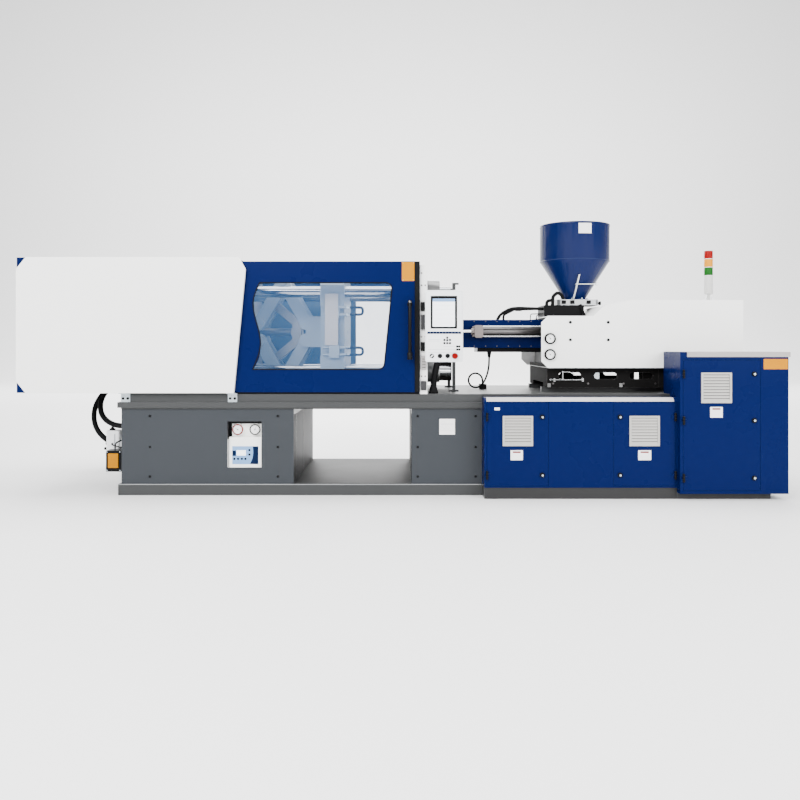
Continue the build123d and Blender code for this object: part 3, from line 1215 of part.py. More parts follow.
def screw_drive():
    """The thrust plate on its guide rods, with the hydraulic motor that turns the screw."""
    x0, x1 = THRUST_X + 1, THRUST_X + 1 + THRUST_THICK
    body = block(x0, x1, -THRUST_HALF_WIDTH, THRUST_HALF_WIDTH, AXIS_Z - THRUST_HALF_HEIGHT,
                 AXIS_Z + THRUST_HALF_HEIGHT)
    body = chamfer(body.edges().filter_by(Axis.X), 40)
    for side in (-1, 1):
        body -= rod_x(x0, x1, side * GUIDE_ROD_Y, AXIS_Z, GUIDE_ROD_R + SHAFT_GAP)
    motor = rod_x(x1, x1 + MOTOR_LENGTH, 0, AXIS_Z, MOTOR_R)
    motor += block(x1 + MOTOR_LENGTH - 70, x1 + MOTOR_LENGTH, -55, 55, AXIS_Z, AXIS_Z + MOTOR_R + 30)
    return body + motor


def barrel_guard():
    """The blue sheet guard round the barrel: three sides, a pierced end and a tray under it."""
    right = HOUSING_LEFT
    half = GUARD_HALF
    shell = block(GUARD_LEFT, right, -half, half, GUARD_BOTTOM, GUARD_TOP)
    shell -= block(GUARD_LEFT + SHEET, right, -half + SHEET, half - SHEET, GUARD_BOTTOM, GUARD_TOP - SHEET)
    shell -= rod_x(GUARD_LEFT, GUARD_LEFT + SHEET, 0, AXIS_Z, GUARD_HOLE_R)
    flange = both_sides(block(GUARD_LEFT, right, TRAY_HALF, half, GUARD_BOTTOM, GUARD_BOTTOM + SHEET))
    tray_low = GUARD_BOTTOM - TRAY_HEIGHT
    tray = block(TRAY_LEFT, right, -TRAY_HALF - SHEET, TRAY_HALF + SHEET, tray_low, GUARD_BOTTOM)
    tray -= block(TRAY_LEFT + SHEET, right, -TRAY_HALF, TRAY_HALF, tray_low + SHEET, GUARD_BOTTOM)
    return shell + flange + tray


def traverse_cylinders():
    """The two cylinders that pull the injection unit to the platen."""
    head_right = TRAVERSE_HEAD_LEFT + TRAVERSE_HEAD_LENGTH
    right = HOUSING_LEFT
    half = TRAVERSE_HEAD_HALF
    y = -TRAVERSE_Y
    body = rod_x(head_right, right, y, AXIS_Z, TRAVERSE_R)
    head = block(TRAVERSE_HEAD_LEFT, head_right, y - half, y + half, AXIS_Z - half, AXIS_Z + half)
    body += chamfer(head.edges().filter_by(Axis.X), 14)
    body -= rod_x(head_right, right - 15, y, AXIS_Z, TRAVERSE_BORE_R)
    body -= rod_x(TRAVERSE_HEAD_LEFT, head_right, y, AXIS_Z, TRAVERSE_ROD_R + SHAFT_GAP)
    return both_sides(body)


def traverse_rods():
    """Their rods, screwed into the stationary platen."""
    y = -TRAVERSE_Y
    body = rod_x(STATIONARY_BACK_X - 30, TRAVERSE_ROD_END, y, AXIS_Z, TRAVERSE_ROD_R)
    body += rod_x(TRAVERSE_ROD_END - 30, TRAVERSE_ROD_END, y, AXIS_Z, TRAVERSE_BORE_R - SHAFT_GAP)
    return both_sides(body)


def pressure_gauges():
    """Two round gauges on the injection cover's front."""
    gauges = Part()
    for z in GAUGE_ZS:
        case = rod_y(GAUGE_X, -COVER2_HALF - GAUGE_DEPTH, -COVER2_HALF, z, GAUGE_R)
        rim = rod_y(GAUGE_X, -COVER2_HALF - GAUGE_DEPTH, -COVER2_HALF - GAUGE_DEPTH + 4, z, GAUGE_R - 5)
        gauges += case - rim
    return gauges


def tower_light():
    """The signal tower: foot, pole, base and three lenses."""
    body = rod_z(TOWER_X, 0, COVER2_TOP, COVER2_TOP + 6, TOWER_R)
    body += rod_z(TOWER_X, 0, COVER2_TOP, TOWER_BASE_BOTTOM, TOWER_POLE_R)
    body += rod_z(TOWER_X, 0, TOWER_BASE_BOTTOM, TOWER_LENS_BOTTOM, TOWER_R)
    pitch = (TOWER_TOP - TOWER_LENS_BOTTOM) / 3
    for index in range(3):
        low = TOWER_LENS_BOTTOM + index * pitch
        body += rod_z(TOWER_X, 0, low, low + 4, TOWER_R - 3)
        body += rod_z(TOWER_X, 0, low + 4, low + pitch, TOWER_R)
    return body


# Hoses and cables, along routes chosen by hand

HOSE_TOP = AXIS_Z - CYLINDER_R
CLAMP_HOSE_LOWER_ROUTE = [
    (-1712, 45, HOSE_TOP), (-1712, 45, 890), (-1743, 36, 812), (-1802, 12, 752), (-1876, -18, 712),
    (-1955, -50, 684), (-2023, -82, 634), (-2067, -110, 563), (-2082, -130, 480), (-2065, -142, 398),
    (-2018, -149, 328), (-1948, -151, 281), (-1866, -150, 261), (BED_LEFT, -150, 261)]
CLAMP_HOSE_UPPER_ROUTE = [
    (-1712, -45, HOSE_TOP), (-1712, -45, 892), (-1742, -65, 817), (-1797, -100, 760), (-1867, -145, 723),
    (-1940, -190, 694), (-1991, -232, 641), (-2009, -268, 569), (-1989, -296, 498), (-1938, -316, 445),
    (-1869, -330, 420), (BED_LEFT, -330, 420)]
PANEL_CABLE_ROUTE = [
    (285, -520, ARM_Z - ARM_HEIGHT / 2), (285, -520, 1003), (277, -524, 926), (259, -523, 850),
    (243, -509, 780), (235, -494, 716), (235, -494, BED_HEIGHT)]
BARREL_CABLE_ROUTE = [
    (656, -10, GUARD_BOTTOM - TRAY_HEIGHT), (656, -10, 860), (651, -9, 797), (635, -7, 739), (612, -4, 695),
    (580, 0, 668), (542, 8, 667), (512, 16, 694), (509, 24, 735), (535, 31, 766), (576, 38, 771),
    (608, 44, 745), (615, 48, 713), (615, 48, BED_HEIGHT + CABLE_BOOT)]


def bend_radii(points):
    """The bend radius at each inner point: as large as its two runs allow."""
    radii = []
    for before, here, after in zip(points, points[1:], points[2:]):
        run_in = Vector(*here) - Vector(*before)
        run_out = Vector(*after) - Vector(*here)
        half_turn = radians(run_in.get_angle(run_out)) / 2
        radii.append(0.45 * min(run_in.length, run_out.length) * cos(half_turn) / sin(half_turn))
    return radii


def hose(name, points, r):
    """A round hose along straight runs joined by tangent arcs."""
    radii = bend_radii(points)
    path = FilletPolyline(*points, radius=radii)
    tube = sweep(Plane(origin=path @ 0, z_dir=path % 0) * Circle(r), path=path)
    print(name, "bend radii", [round(value) for value in radii], "length", round(path.length),
          "volume over length times section", round(tube.volume / (path.length * pi * r * r), 4))
    return tube


MODEL = {
    "bed_frame": bed_frame,
    "bed_panels": bed_panels,
    "service_panel": service_panel,
    "lubrication_pump": lubrication_pump,
    "junction_box": junction_box,
    "stationary_platen": stationary_platen,
    "moving_platen": moving_platen,
    "tail_platen": tail_platen,
    "tie_bars": tie_bars,
    "tie_bar_nuts": tie_bar_nuts,
    "rear_link_upper": rear_link,
    "rear_link_lower": lambda: lower(rear_link()),
    "front_links_upper": front_links,
    "front_links_lower": lambda: lower(front_links()),
    "crosshead": crosshead,
    "crosshead_link_upper": crosshead_link,
    "crosshead_link_lower": lambda: lower(crosshead_link()),
    "clamp_cylinder": clamp_cylinder,
    "ejector": ejector,
    "side_covers": side_covers,
    "cover_hood": cover_hood,
    "cover_brackets": cover_brackets,
    "front_gate": front_gate,
    "front_gate_window": front_gate_window,
    "front_gate_handle": front_gate_handle,
    "rear_gate": lambda: flip(front_gate()),
    "rear_gate_window": lambda: flip(front_gate_window()),
    "gate_rails": gate_rails,
    "gate_posts": gate_posts,
    "pump_enclosure": pump_enclosure,
    "pump_door_left": pump_door_left,
    "pump_vent_left": lambda: vent(PUMP_LEFT + DOOR_SIDE + PUMP_VENT_FROM_HINGE, VENT_CENTRE_Z, PUMP_FRONT),
    "pump_door_right": pump_door_right,
    "pump_vent_right": lambda: vent(PUMP_RIGHT - DOOR_SIDE - PUMP_VENT_FROM_HINGE, VENT_CENTRE_Z, PUMP_FRONT),
    "electrical_cabinet": electrical_cabinet,
    "cabinet_lid": cabinet_lid,
    "cabinet_door": cabinet_door,
    "cabinet_vent": lambda: vent(CABINET_LEFT + CABINET_DOOR_INSET + CABINET_VENT_FROM_HINGE, CABINET_VENT_Z,
                                 CABINET_FRONT),
    "panel_arm": panel_arm,
    "control_panel": control_panel,
    "emergency_stop": emergency_stop,
    "start_button": lambda: push_button(BUTTON_OFFSETS["start_button"]),
    "stop_button": lambda: push_button(BUTTON_OFFSETS["stop_button"]),
    "carriage": carriage,
    "injection_cover": injection_cover,
    "feed_housing": feed_housing,
    "hopper": hopper,
    "hopper_lid": hopper_lid,
    "barrel": barrel,
    "screw": screw,
    "screw_drive": screw_drive,
    "barrel_guard": barrel_guard,
    "traverse_cylinders": traverse_cylinders,
    "traverse_rods": traverse_rods,
    "pressure_gauges": pressure_gauges,
    "tower_light": tower_light,
    "clamp_hose_lower": lambda: hose("clamp_hose_lower", CLAMP_HOSE_LOWER_ROUTE, HOSE_R),
    "clamp_hose_upper": lambda: hose("clamp_hose_upper", CLAMP_HOSE_UPPER_ROUTE, HOSE_R),
    "panel_cable": lambda: hose("panel_cable", PANEL_CABLE_ROUTE, PANEL_CABLE_R),
    "barrel_cable": lambda: hose("barrel_cable", BARREL_CABLE_ROUTE, CABLE_R),
}


def main():
    """Builds each piece and writes it to its own file."""
    os.makedirs("parts", exist_ok=True)
    for name, build in MODEL.items():
        export_step(build(), f"parts/{name}.step")


main()
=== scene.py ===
from math import pi, radians

import bmesh
import bpy
import numpy as np
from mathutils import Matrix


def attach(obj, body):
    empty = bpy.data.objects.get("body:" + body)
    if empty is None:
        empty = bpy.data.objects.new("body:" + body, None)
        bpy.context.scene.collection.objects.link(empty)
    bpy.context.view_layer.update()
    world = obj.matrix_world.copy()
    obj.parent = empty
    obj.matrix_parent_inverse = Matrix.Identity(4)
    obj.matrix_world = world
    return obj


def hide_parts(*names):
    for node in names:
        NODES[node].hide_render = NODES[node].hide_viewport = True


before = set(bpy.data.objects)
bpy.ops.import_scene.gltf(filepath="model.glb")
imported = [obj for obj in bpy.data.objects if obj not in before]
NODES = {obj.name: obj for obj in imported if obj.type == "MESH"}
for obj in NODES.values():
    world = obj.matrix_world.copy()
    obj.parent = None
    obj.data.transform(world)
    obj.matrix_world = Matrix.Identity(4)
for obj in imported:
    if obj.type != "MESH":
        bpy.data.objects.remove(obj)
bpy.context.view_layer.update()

# Injection moulding machine, in metres. X runs from the clamp to the injection unit, Z is up,
# and the operator stands at -Y.

# Camera, as the photograph was taken
CAMERA_PLACE = (0.015, -5.761, 0.966)
CAMERA_LENS = 36.0
CAMERA_SENSOR = 36.0
CAMERA_SHIFT_Y = -0.0675

# Faces and axes that pieces are placed on
BED_FRONT = -0.575
BED_LEFT = -1.791
BED_TOP = 0.655
GATE_FACE = -0.605
PUMP_FACE = -0.720
CABINET_FACE = -0.765
PANEL_FACE = -0.760
COVER_FACE = -0.440
CLAMP_AXIS_Z = 1.066
HOPPER_X = 1.271
TOWER_X = 2.236
CYLINDER_YS = (-0.205, 0.205)

# Faces that meet at more than this angle have a sharp edge between them
SHARP_ANGLE = radians(35)


# Shapes: each is a pair of arrays, points (n, 3) and faces (a list of index lists)

def grid_faces(rows, columns, wrap_rows=False, wrap_columns=False):
    """Four-sided faces between the neighbouring points of a grid, closed round where asked."""
    index = np.arange(rows * columns).reshape(rows, columns)
    if wrap_rows:
        index = np.vstack([index, index[:1]])
    if wrap_columns:
        index = np.hstack([index, index[:, :1]])
    corners = (index[:-1, :-1], index[:-1, 1:], index[1:, 1:], index[1:, :-1])
    return np.stack(corners, -1).reshape(-1, 4).tolist()


def laid_along(points, axis):
    """Turns points made round Z so that their axis lies along x, y or z."""
    x, y, z = np.moveaxis(points, -1, 0)
    return np.stack({"x": (z, x, y), "y": (x, z, -y), "z": (x, y, z)}[axis], -1)


def turned(profile, centre, axis="z", segments=32):
    """A profile of (radius, height) turned round an axis: (r cos t, r sin t, h) for t all the way round."""
    r, h = np.asarray(profile, float).T
    t = np.linspace(0, 2 * pi, segments, endpoint=False)
    points = np.stack([
        r[:, None] * np.cos(t), r[:, None] * np.sin(t), np.repeat(h[:, None], segments, 1)], -1)
    points = laid_along(points, axis).reshape(-1, 3) + np.asarray(centre, float)
    return points, grid_faces(len(r), segments, wrap_columns=True)


def button_profile(radius, height, edge):
    """The profile of a round button: a disc of that height with its top edge rounded as a quarter circle."""
    t = np.linspace(0, pi / 2, 5)
    r = np.concatenate([[0, radius], radius - edge + edge * np.cos(t), [0]])
    h = np.concatenate([[0, 0], height - edge + edge * np.sin(t), [height]])
    return np.stack([r, h], -1)


def rounded_outline(x0, x1, z0, z1, radius, steps=6):
    """A rectangle with round corners: each corner is a quarter circle, corner centre + r (cos t, sin t)."""
    centres = np.array([(x1 - radius, z1 - radius), (x0 + radius, z1 - radius),
                        (x0 + radius, z0 + radius), (x1 - radius, z0 + radius)])
    t = np.linspace(0, pi / 2, steps) + (pi / 2) * np.arange(4)[:, None]
    arc = radius * np.stack([np.cos(t), np.sin(t)], -1)
    return (centres[:, None] + arc).reshape(-1, 2)


def plate(outline, y0, y1):
    """A flat outline in (x, z) carried from y0 to y1, closed at both ends."""
    outline = np.asarray(outline, float)
    count = len(outline)
    ends = [np.insert(outline, 1, y, axis=1) for y in (y0, y1)]
    faces = grid_faces(2, count, wrap_columns=True)
    faces += [list(range(count)), list(range(2 * count - 1, count - 1, -1))]
    return np.vstack(ends), faces


def box(x0, x1, y0, y1, z0, z1, radius=0.001):
    """A box between two corners, with the corners of its outline in (x, z) rounded."""
    return plate(rounded_outline(x0, x1, z0, z1, radius, 3), y0, y1)


def pipe(path, radius, segments=16):
    """A round section carried along a path: path point + r (cos t side + sin t up), closed at both ends."""
    path = np.asarray(path, float)
    along = np.gradient(path, axis=0)
    along /= np.linalg.norm(along, axis=1, keepdims=True)
    spread = path.max(0) - path.min(0)
    reference = np.eye(3)[int(np.argmin(spread))]
    side = np.cross(along, reference)
    side /= np.linalg.norm(side, axis=1, keepdims=True)
    up = np.cross(side, along)
    t = np.linspace(0, 2 * pi, segments, endpoint=False)
    ring = np.cos(t)[:, None] * side[:, None] + np.sin(t)[:, None] * up[:, None]
    radii = np.full(len(path), radius) if np.isscalar(radius) else np.asarray(radius, float)
    points = path[:, None] + radii[:, None, None] * ring
    faces = grid_faces(len(path), segments, wrap_columns=True)
    last = (len(path) - 1) * segments
    faces += [list(range(segments)), list(range(last + segments - 1, last - 1, -1))]
    return points.reshape(-1, 3), faces


def rounded_path(points, radius, steps=6):
    """A path with its corners rounded: a parabola between two points that lie a radius from each corner."""
    points = np.asarray(points, float)
    before, here, after = points[:-2], points[1:-1], points[2:]
    back = (before - here) / np.linalg.norm(before - here, axis=1, keepdims=True)
    on = (after - here) / np.linalg.norm(after - here, axis=1, keepdims=True)
    t = np.linspace(0, 1, steps)[:, None]
    start, end = (here + radius * back)[:, None], (here + radius * on)[:, None]
    middle = here[:, None]
    bends = (1 - t) ** 2 * start + 2 * t * (1 - t) * middle + t ** 2 * end
    return np.vstack([points[:1], bends.reshape(-1, 3), points[-1:]])


def frame_strip(path, section, y_face):
    """A section of (across, out) pairs carried round a closed (x, z) path on a face that looks to -Y."""
    path, section = np.asarray(path, float), np.asarray(section, float)
    along = np.roll(path, -1, 0) - np.roll(path, 1, 0)
    along /= np.linalg.norm(along, axis=1, keepdims=True)
    across = np.stack([-along[:, 1], along[:, 0]], -1)
    flat = path[:, None] + section[None, :, :1] * across[:, None]
    out = np.broadcast_to(y_face - section[None, :, 1], flat.shape[:2])
    points = np.stack([flat[..., 0], out, flat[..., 1]], -1)
    return points.reshape(-1, 3), grid_faces(len(path), len(section), True, True)


def repeated_faces(faces, size, count):
    """The faces of so many copies of a shape, each with that many points."""
    return [[corner + size * step for corner in face] for step in range(count) for face in faces]


def copies(shape, places):
    """The same shape moved to each place."""
    points, faces = shape
    places = np.asarray(places, float)
    moved = (points[None] + places[:, None]).reshape(-1, 3)
    return moved, repeated_faces(faces, len(points), len(places))


def across_machine(shape):
    """The shape's mirror image on the other side of the machine, turned the right way out again."""
    points, faces = shape
    return points * np.array([1, -1, 1]), [face[::-1] for face in faces]


def mirrored(shapes):
    """Each shape's mirror image."""
    return [across_machine(shape) for shape in shapes]


def both_sides(shapes):
    """The shapes together with their mirror images."""
    return [*shapes, *mirrored(shapes)]


def add_piece(name, shapes, body, finish, bevel=0.0, slot=None):
    """One piece from one or more shapes, riding on a body: doubles merged and faces pointing outwards."""
    points, faces, count = [], [], 0
    for shape_points, shape_faces in shapes:
        points.append(shape_points)
        faces += [[corner + count for corner in face] for face in shape_faces]
        count += len(shape_points)
    mesh = bpy.data.meshes.new(name)
    mesh.from_pydata(np.vstack(points).tolist(), [], faces)
    tidy = bmesh.new()
    tidy.from_mesh(mesh)
    bmesh.ops.remove_doubles(tidy, verts=tidy.verts, dist=2e-6)
    bmesh.ops.dissolve_degenerate(tidy, edges=tidy.edges, dist=1e-6)
    bmesh.ops.recalc_face_normals(tidy, faces=tidy.faces)
    tidy.to_mesh(mesh)
    tidy.free()
    mesh.shade_smooth()
    mesh.set_sharp_from_angle(angle=SHARP_ANGLE)
    mesh.materials.append(finish)
    piece = bpy.data.objects.new(name, mesh)
    bpy.context.scene.collection.objects.link(piece)
    if bevel:
        round_edges(piece, bevel)
    slot = slot or SLOT_OF[finish.name]
    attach(piece, body)


def round_edges(piece, width):
    """Rounds a piece's sharp edges."""
    edge = piece.modifiers.new("round_edges", "BEVEL")
    edge.width = width
    edge.segments = 2
    edge.limit_method = "ANGLE"
    edge.angle_limit = SHARP_ANGLE
    edge.harden_normals = True


# Finishes

def make_group(name, inputs, outputs):
    """An empty node group with named inputs (name, kind, value) and outputs (name, kind)."""
    group = bpy.data.node_groups.new(name, "ShaderNodeTree")
    for label, kind, value in inputs:
        socket = group.interface.new_socket(label, in_out="INPUT", socket_type=kind)
        socket.default_value = value
    for label, kind in outputs:
        group.interface.new_socket(label, in_out="OUTPUT", socket_type=kind)
    return group, group.nodes.new("NodeGroupInput").outputs, group.nodes.new("NodeGroupOutput").inputs


def feed(tree, node, inputs):
    """Puts a value, or another node's output, on each input of a node."""
    for label, value in dict(inputs).items():
        socket = node.inputs[label]
        if isinstance(value, bpy.types.NodeSocket):
            tree.links.new(value, socket)
        else:
            socket.default_value = value


def wire(tree, kind, inputs=(), **settings):
    """A new node with its settings and inputs."""
    node = tree.nodes.new(kind)
    for key, value in settings.items():
        setattr(node, key, value)
    feed(tree, node, inputs)
    return node


def calculate(tree, operation, *values):
    """The result of one step of arithmetic."""
    return wire(tree, "ShaderNodeMath", enumerate(values), operation=operation).outputs[0]


def blend_colour(tree, share, first, second, mode="MIX"):
    """Two colours mixed by a share from 0 to 1."""
    node = wire(tree, "ShaderNodeMix", {0: share, 6: first, 7: second}, data_type="RGBA", blend_type=mode)
    return node.outputs[2]


def noise(tree, place, scale, detail=2.0, roughness=0.5):
    """Noise at so many cells per metre."""
    inputs = {"Vector": place, "Scale": scale, "Detail": detail, "Roughness": roughness}
    return wire(tree, "ShaderNodeTexNoise", inputs).outputs["Fac"]


def object_place(tree):
    """Object coordinates."""
    return wire(tree, "ShaderNodeTexCoord").outputs["Object"]


def scaled_place(tree, scale):
    """Object coordinates stretched by three factors."""
    return wire(tree, "ShaderNodeMapping", {"Vector": object_place(tree), "Scale": scale}).outputs[0]


def shaded(colour, factor):
    """The colour made darker or lighter by a factor, up to full white."""
    return (*(min(1.0, factor * part) for part in colour), 1)


def off_middle(tree, value, gain, base):
    """A value from 0 to 1, as a swing of that size about a base."""
    return calculate(tree, "MULTIPLY_ADD", calculate(tree, "SUBTRACT", value, 0.5), gain, base)


def paint_skin_group():
    """Sprayed paint: fine orange peel as height, and slow drifts of colour and gloss over a large sheet."""
    group, given, result = make_group(
        "paint_skin",
        [("Colour", "NodeSocketColor", (1, 1, 1, 1)), ("Roughness", "NodeSocketFloat", 0.35),
         ("Drift", "NodeSocketFloat", 0.06)],
        [("Colour", "NodeSocketColor"), ("Roughness", "NodeSocketFloat"), ("Height", "NodeSocketFloat")])
    place = object_place(group)
    gain = off_middle(group, noise(group, place, 1.3, 3.0), given["Drift"], 1.0)
    shade = wire(group, "ShaderNodeHueSaturation", {"Color": given["Colour"], "Value": gain})
    rough = off_middle(group, noise(group, place, 6.0, 4.0), 0.07, given["Roughness"])
    peel = noise(group, place, 260.0, 1.0)
    for label, socket in (("Colour", shade.outputs[0]), ("Roughness", rough), ("Height", peel)):
        group.links.new(socket, result[label])
    return group


def settled_dust_group():
    """A mask that is strongest on faces that look up, broken by noise, as dust settles."""
    group, given, result = make_group(
        "settled_dust", [("Amount", "NodeSocketFloat", 0.3)], [("Mask", "NodeSocketFloat")])
    facing = wire(group, "ShaderNodeNewGeometry").outputs["Normal"]
    up = wire(group, "ShaderNodeSeparateXYZ", {"Vector": facing}).outputs["Z"]
    flat = calculate(group, "POWER", calculate(group, "MAXIMUM", up, 0.0), 6.0)
    patches = calculate(group, "MULTIPLY", noise(group, object_place(group), 9.0, 6.0, 0.7), flat)
    group.links.new(calculate(group, "MULTIPLY", patches, given["Amount"]), result["Mask"])
    return group


def edge_wear_group():
    """A mask along convex edges: where the rounded normal leaves the true one, broken by noise."""
    group, given, result = make_group(
        "edge_wear", [("Width", "NodeSocketFloat", 0.002)], [("Mask", "NodeSocketFloat")])
    soft = wire(group, "ShaderNodeBevel", {"Radius": given["Width"]}, samples=4).outputs[0]
    true = wire(group, "ShaderNodeNewGeometry").outputs["Normal"]
    match = wire(group, "ShaderNodeVectorMath", {0: soft, 1: true}, operation="DOT_PRODUCT").outputs["Value"]
    turn = calculate(group, "SUBTRACT", 1.0, match)
    worn = calculate(group, "MULTIPLY", turn, noise(group, object_place(group), 30.0, 5.0, 0.7))
    group.links.new(calculate(group, "MINIMUM", calculate(group, "MULTIPLY", worn, 5.0), 1.0), result["Mask"])
    return group


PAINT_SKIN = paint_skin_group()
SETTLED_DUST = settled_dust_group()
EDGE_WEAR = edge_wear_group()
DUST_COLOUR = (0.42, 0.41, 0.39, 1)


def new_material(name):
    """A material with its nodes, and its main shader."""
    material = bpy.data.materials.new(name)
    material.use_nodes = True
    return material, material.node_tree, material.node_tree.nodes["Principled BSDF"]


def use_group(tree, group, **inputs):
    """A shared effect placed in a material with its own values."""
    node = tree.nodes.new("ShaderNodeGroup")
    node.node_tree = group
    for label, value in inputs.items():
        node.inputs[label].default_value = value
    return node.outputs


def raise_bump(tree, shader, height, distance, strength=0.5):
    """Feeds a height into the shader's normal."""
    bump = wire(tree, "ShaderNodeBump", {"Height": height, "Distance": distance, "Strength": strength})
    tree.links.new(bump.outputs[0], shader.inputs["Normal"])


PEEL_HEIGHT = 0.00004
WEAR_SHOWS = 0.5
DUST_DULLS = 0.4
COAT_ROUGHNESS = 0.12


def painted(name, colour, roughness, worn, dust=0.25, coat=0.0, drift=0.10, gloss=0.3):
    """Sprayed metal: orange peel, slow drift of colour, a little dust on top and lighter edges."""
    material, tree, shader = new_material(name)
    skin = use_group(tree, PAINT_SKIN, Colour=(*colour, 1), Roughness=roughness, Drift=drift)
    wear = calculate(tree, "MULTIPLY", use_group(tree, EDGE_WEAR)["Mask"], WEAR_SHOWS)
    clean = blend_colour(tree, wear, skin["Colour"], (*worn, 1))
    settled = use_group(tree, SETTLED_DUST, Amount=dust)["Mask"]
    feed(tree, shader, {
        "Base Color": blend_colour(tree, settled, clean, DUST_COLOUR),
        "Roughness": calculate(tree, "MULTIPLY_ADD", settled, DUST_DULLS, skin["Roughness"]),
        "Coat Weight": coat, "Coat Roughness": COAT_ROUGHNESS, "Specular IOR Level": gloss})
    raise_bump(tree, shader, skin["Height"], PEEL_HEIGHT)
    return material


def steel(name, colour, roughness, stretch, marks=0.12, metallic=1.0):
    """Bare metal with tool marks: noise stretched along the cut, as height and gloss."""
    material, tree, shader = new_material(name)
    grain = noise(tree, scaled_place(tree, stretch), 1.0, 6.0, 0.65)
    drift = noise(tree, object_place(tree), 5.0, 4.0)
    feed(tree, shader, {
        "Base Color": blend_colour(tree, drift, shaded(colour, 0.84), shaded(colour, 1.12)),
        "Roughness": off_middle(tree, grain, 2 * marks, roughness), "Metallic": metallic})
    raise_bump(tree, shader, grain, 0.00004, 0.6)
    return material


def moulded(name, colour, roughness=0.38, grain=420.0, depth=0.00008, specular=0.5):
    """Moulded plastic or rubber: a fine spark-eroded grain and a slow drift of gloss."""
    material, tree, shader = new_material(name)
    place = object_place(tree)
    drift = noise(tree, place, 14.0, 4.0)
    feed(tree, shader, {
        "Base Color": blend_colour(tree, drift, shaded(colour, 0.94), shaded(colour, 1.05)),
        "Roughness": off_middle(tree, drift, 0.16, roughness), "Specular IOR Level": specular})
    raise_bump(tree, shader, noise(tree, place, grain, 3.0), depth)
    return material


def cast_iron(name, colour):
    """Painted casting: coarse sand texture under thick paint."""
    material, tree, shader = new_material(name)
    place = object_place(tree)
    sand = noise(tree, place, 120.0, 6.0, 0.6)
    wear = use_group(tree, EDGE_WEAR, Width=0.003)["Mask"]
    body = blend_colour(tree, noise(tree, place, 4.0, 4.0), shaded(colour, 0.8), shaded(colour, 1.2))
    feed(tree, shader, {
        "Base Color": blend_colour(tree, wear, body, (0.16, 0.155, 0.15, 1)),
        "Roughness": calculate(tree, "MULTIPLY_ADD", sand, 0.25, 0.55), "Specular IOR Level": 0.03})
    raise_bump(tree, shader, sand, 0.0005, 0.6)
    return material


def clear_pane(name, colour, opacity):
    """A clear sheet: mostly see-through, glossy, a little tinted, with faint smears."""
    material, tree, shader = new_material(name)
    smear = noise(tree, object_place(tree), 3.0, 5.0, 0.6)
    feed(tree, shader, {
        "Base Color": (*colour, 1), "Roughness": calculate(tree, "MULTIPLY_ADD", smear, 0.08, 0.02),
        "Alpha": calculate(tree, "MULTIPLY_ADD", smear, 0.08, opacity)})
    return material


def glowing(name, colour, strength):
    """A lit face, such as a screen, with a slow drift of brightness."""
    material, tree, shader = new_material(name)
    drift = noise(tree, object_place(tree), 4.0, 2.0)
    lit = blend_colour(tree, drift, shaded(colour, 0.95), (*colour, 1))
    feed(tree, shader, {
        "Base Color": lit, "Emission Color": lit, "Emission Strength": strength, "Roughness": 0.12})
    return material


def colour_bands(tree, height, bands):
    """A colour that changes with height: bands of (height where it starts, colour)."""
    low, high = bands[0][0], bands[-1][0] + 0.1
    share = wire(tree, "ShaderNodeMapRange", {"Value": height, "From Min": low, "From Max": high}).outputs[0]
    ramp = wire(tree, "ShaderNodeValToRGB", {"Fac": share})
    ramp.color_ramp.interpolation = "CONSTANT"
    stops = ramp.color_ramp.elements
    while len(stops) < len(bands):
        stops.new(0.5)
    for stop, (start, colour) in zip(stops, bands):
        stop.position = (start - low) / (high - low)
        stop.color = (*colour, 1)
    return ramp.outputs[0]


def banded(name, bands, roughness, glow):
    """Ribbed lenses of lit colour, one above the other."""
    material, tree, shader = new_material(name)
    place = object_place(tree)
    height = wire(tree, "ShaderNodeSeparateXYZ", {"Vector": place}).outputs["Z"]
    colours = colour_bands(tree, height, bands)
    wave = wire(tree, "ShaderNodeTexWave", {"Vector": place, "Scale": 60.0}, bands_direction="Z")
    ribs = wave.outputs["Fac"]
    rib = calculate(tree, "MULTIPLY_ADD", ribs, 0.3, 0.75)
    lens = blend_colour(tree, 1.0, colours, rib, "MULTIPLY")
    feed(tree, shader, {
        "Base Color": lens, "Emission Color": lens, "Emission Strength": glow, "Roughness": roughness,
        "Specular IOR Level": 0.1})
    raise_bump(tree, shader, ribs, 0.0004)
    return material


def grey(level):
    """A neutral grey."""
    return (level, level, level)


WORN_BLUE = (0.01, 0.04, 0.15)
BLUE = painted("blue_paint", (0.0004, 0.0045, 0.046), 0.28, WORN_BLUE, dust=0.04, drift=0.03, gloss=0.05)
HOPPER_BLUE = painted(
    "hopper_blue_paint", (0.0008, 0.0062, 0.050), 0.24, WORN_BLUE,
    dust=0.03, coat=0.06, drift=0.03, gloss=0.12)
WHITE = painted("white_paint", (0.90, 0.90, 0.885), 0.38, grey(0.80), dust=0.08, drift=0.03)
BED_GREY = painted("bed_grey", (0.034, 0.0355, 0.0365), 0.36, grey(0.20), dust=0.10, gloss=0.2)
PANEL_GREY = painted("bed_panel_grey", (0.024, 0.0275, 0.0325), 0.38, grey(0.18), gloss=0.2)
PALE_GREY = painted("pale_grey_paint", (0.30, 0.285, 0.28), 0.45, grey(0.7))
STRIP_GREY = painted("pale_strip_paint", (0.45, 0.43, 0.43), 0.40, grey(0.7), dust=0.1)
PLATEN_GREY = painted("platen_grey", (0.20, 0.24, 0.28), 0.42, grey(0.5))
PLATEN_PALE = painted("platen_pale_grey", (0.50, 0.53, 0.55), 0.42, grey(0.7))
# Dark grey-blue as painted shade: it darkens the inside of the clamp seen through the gate window
INNER_SHADE_BLUE = painted("inner_painted_shade_blue_grey", (0.035, 0.065, 0.105), 0.5, grey(0.2))
PLINTH_DARK = painted("dark_plinth_paint", (0.012, 0.012, 0.0125), 0.5, grey(0.06), dust=0.08)
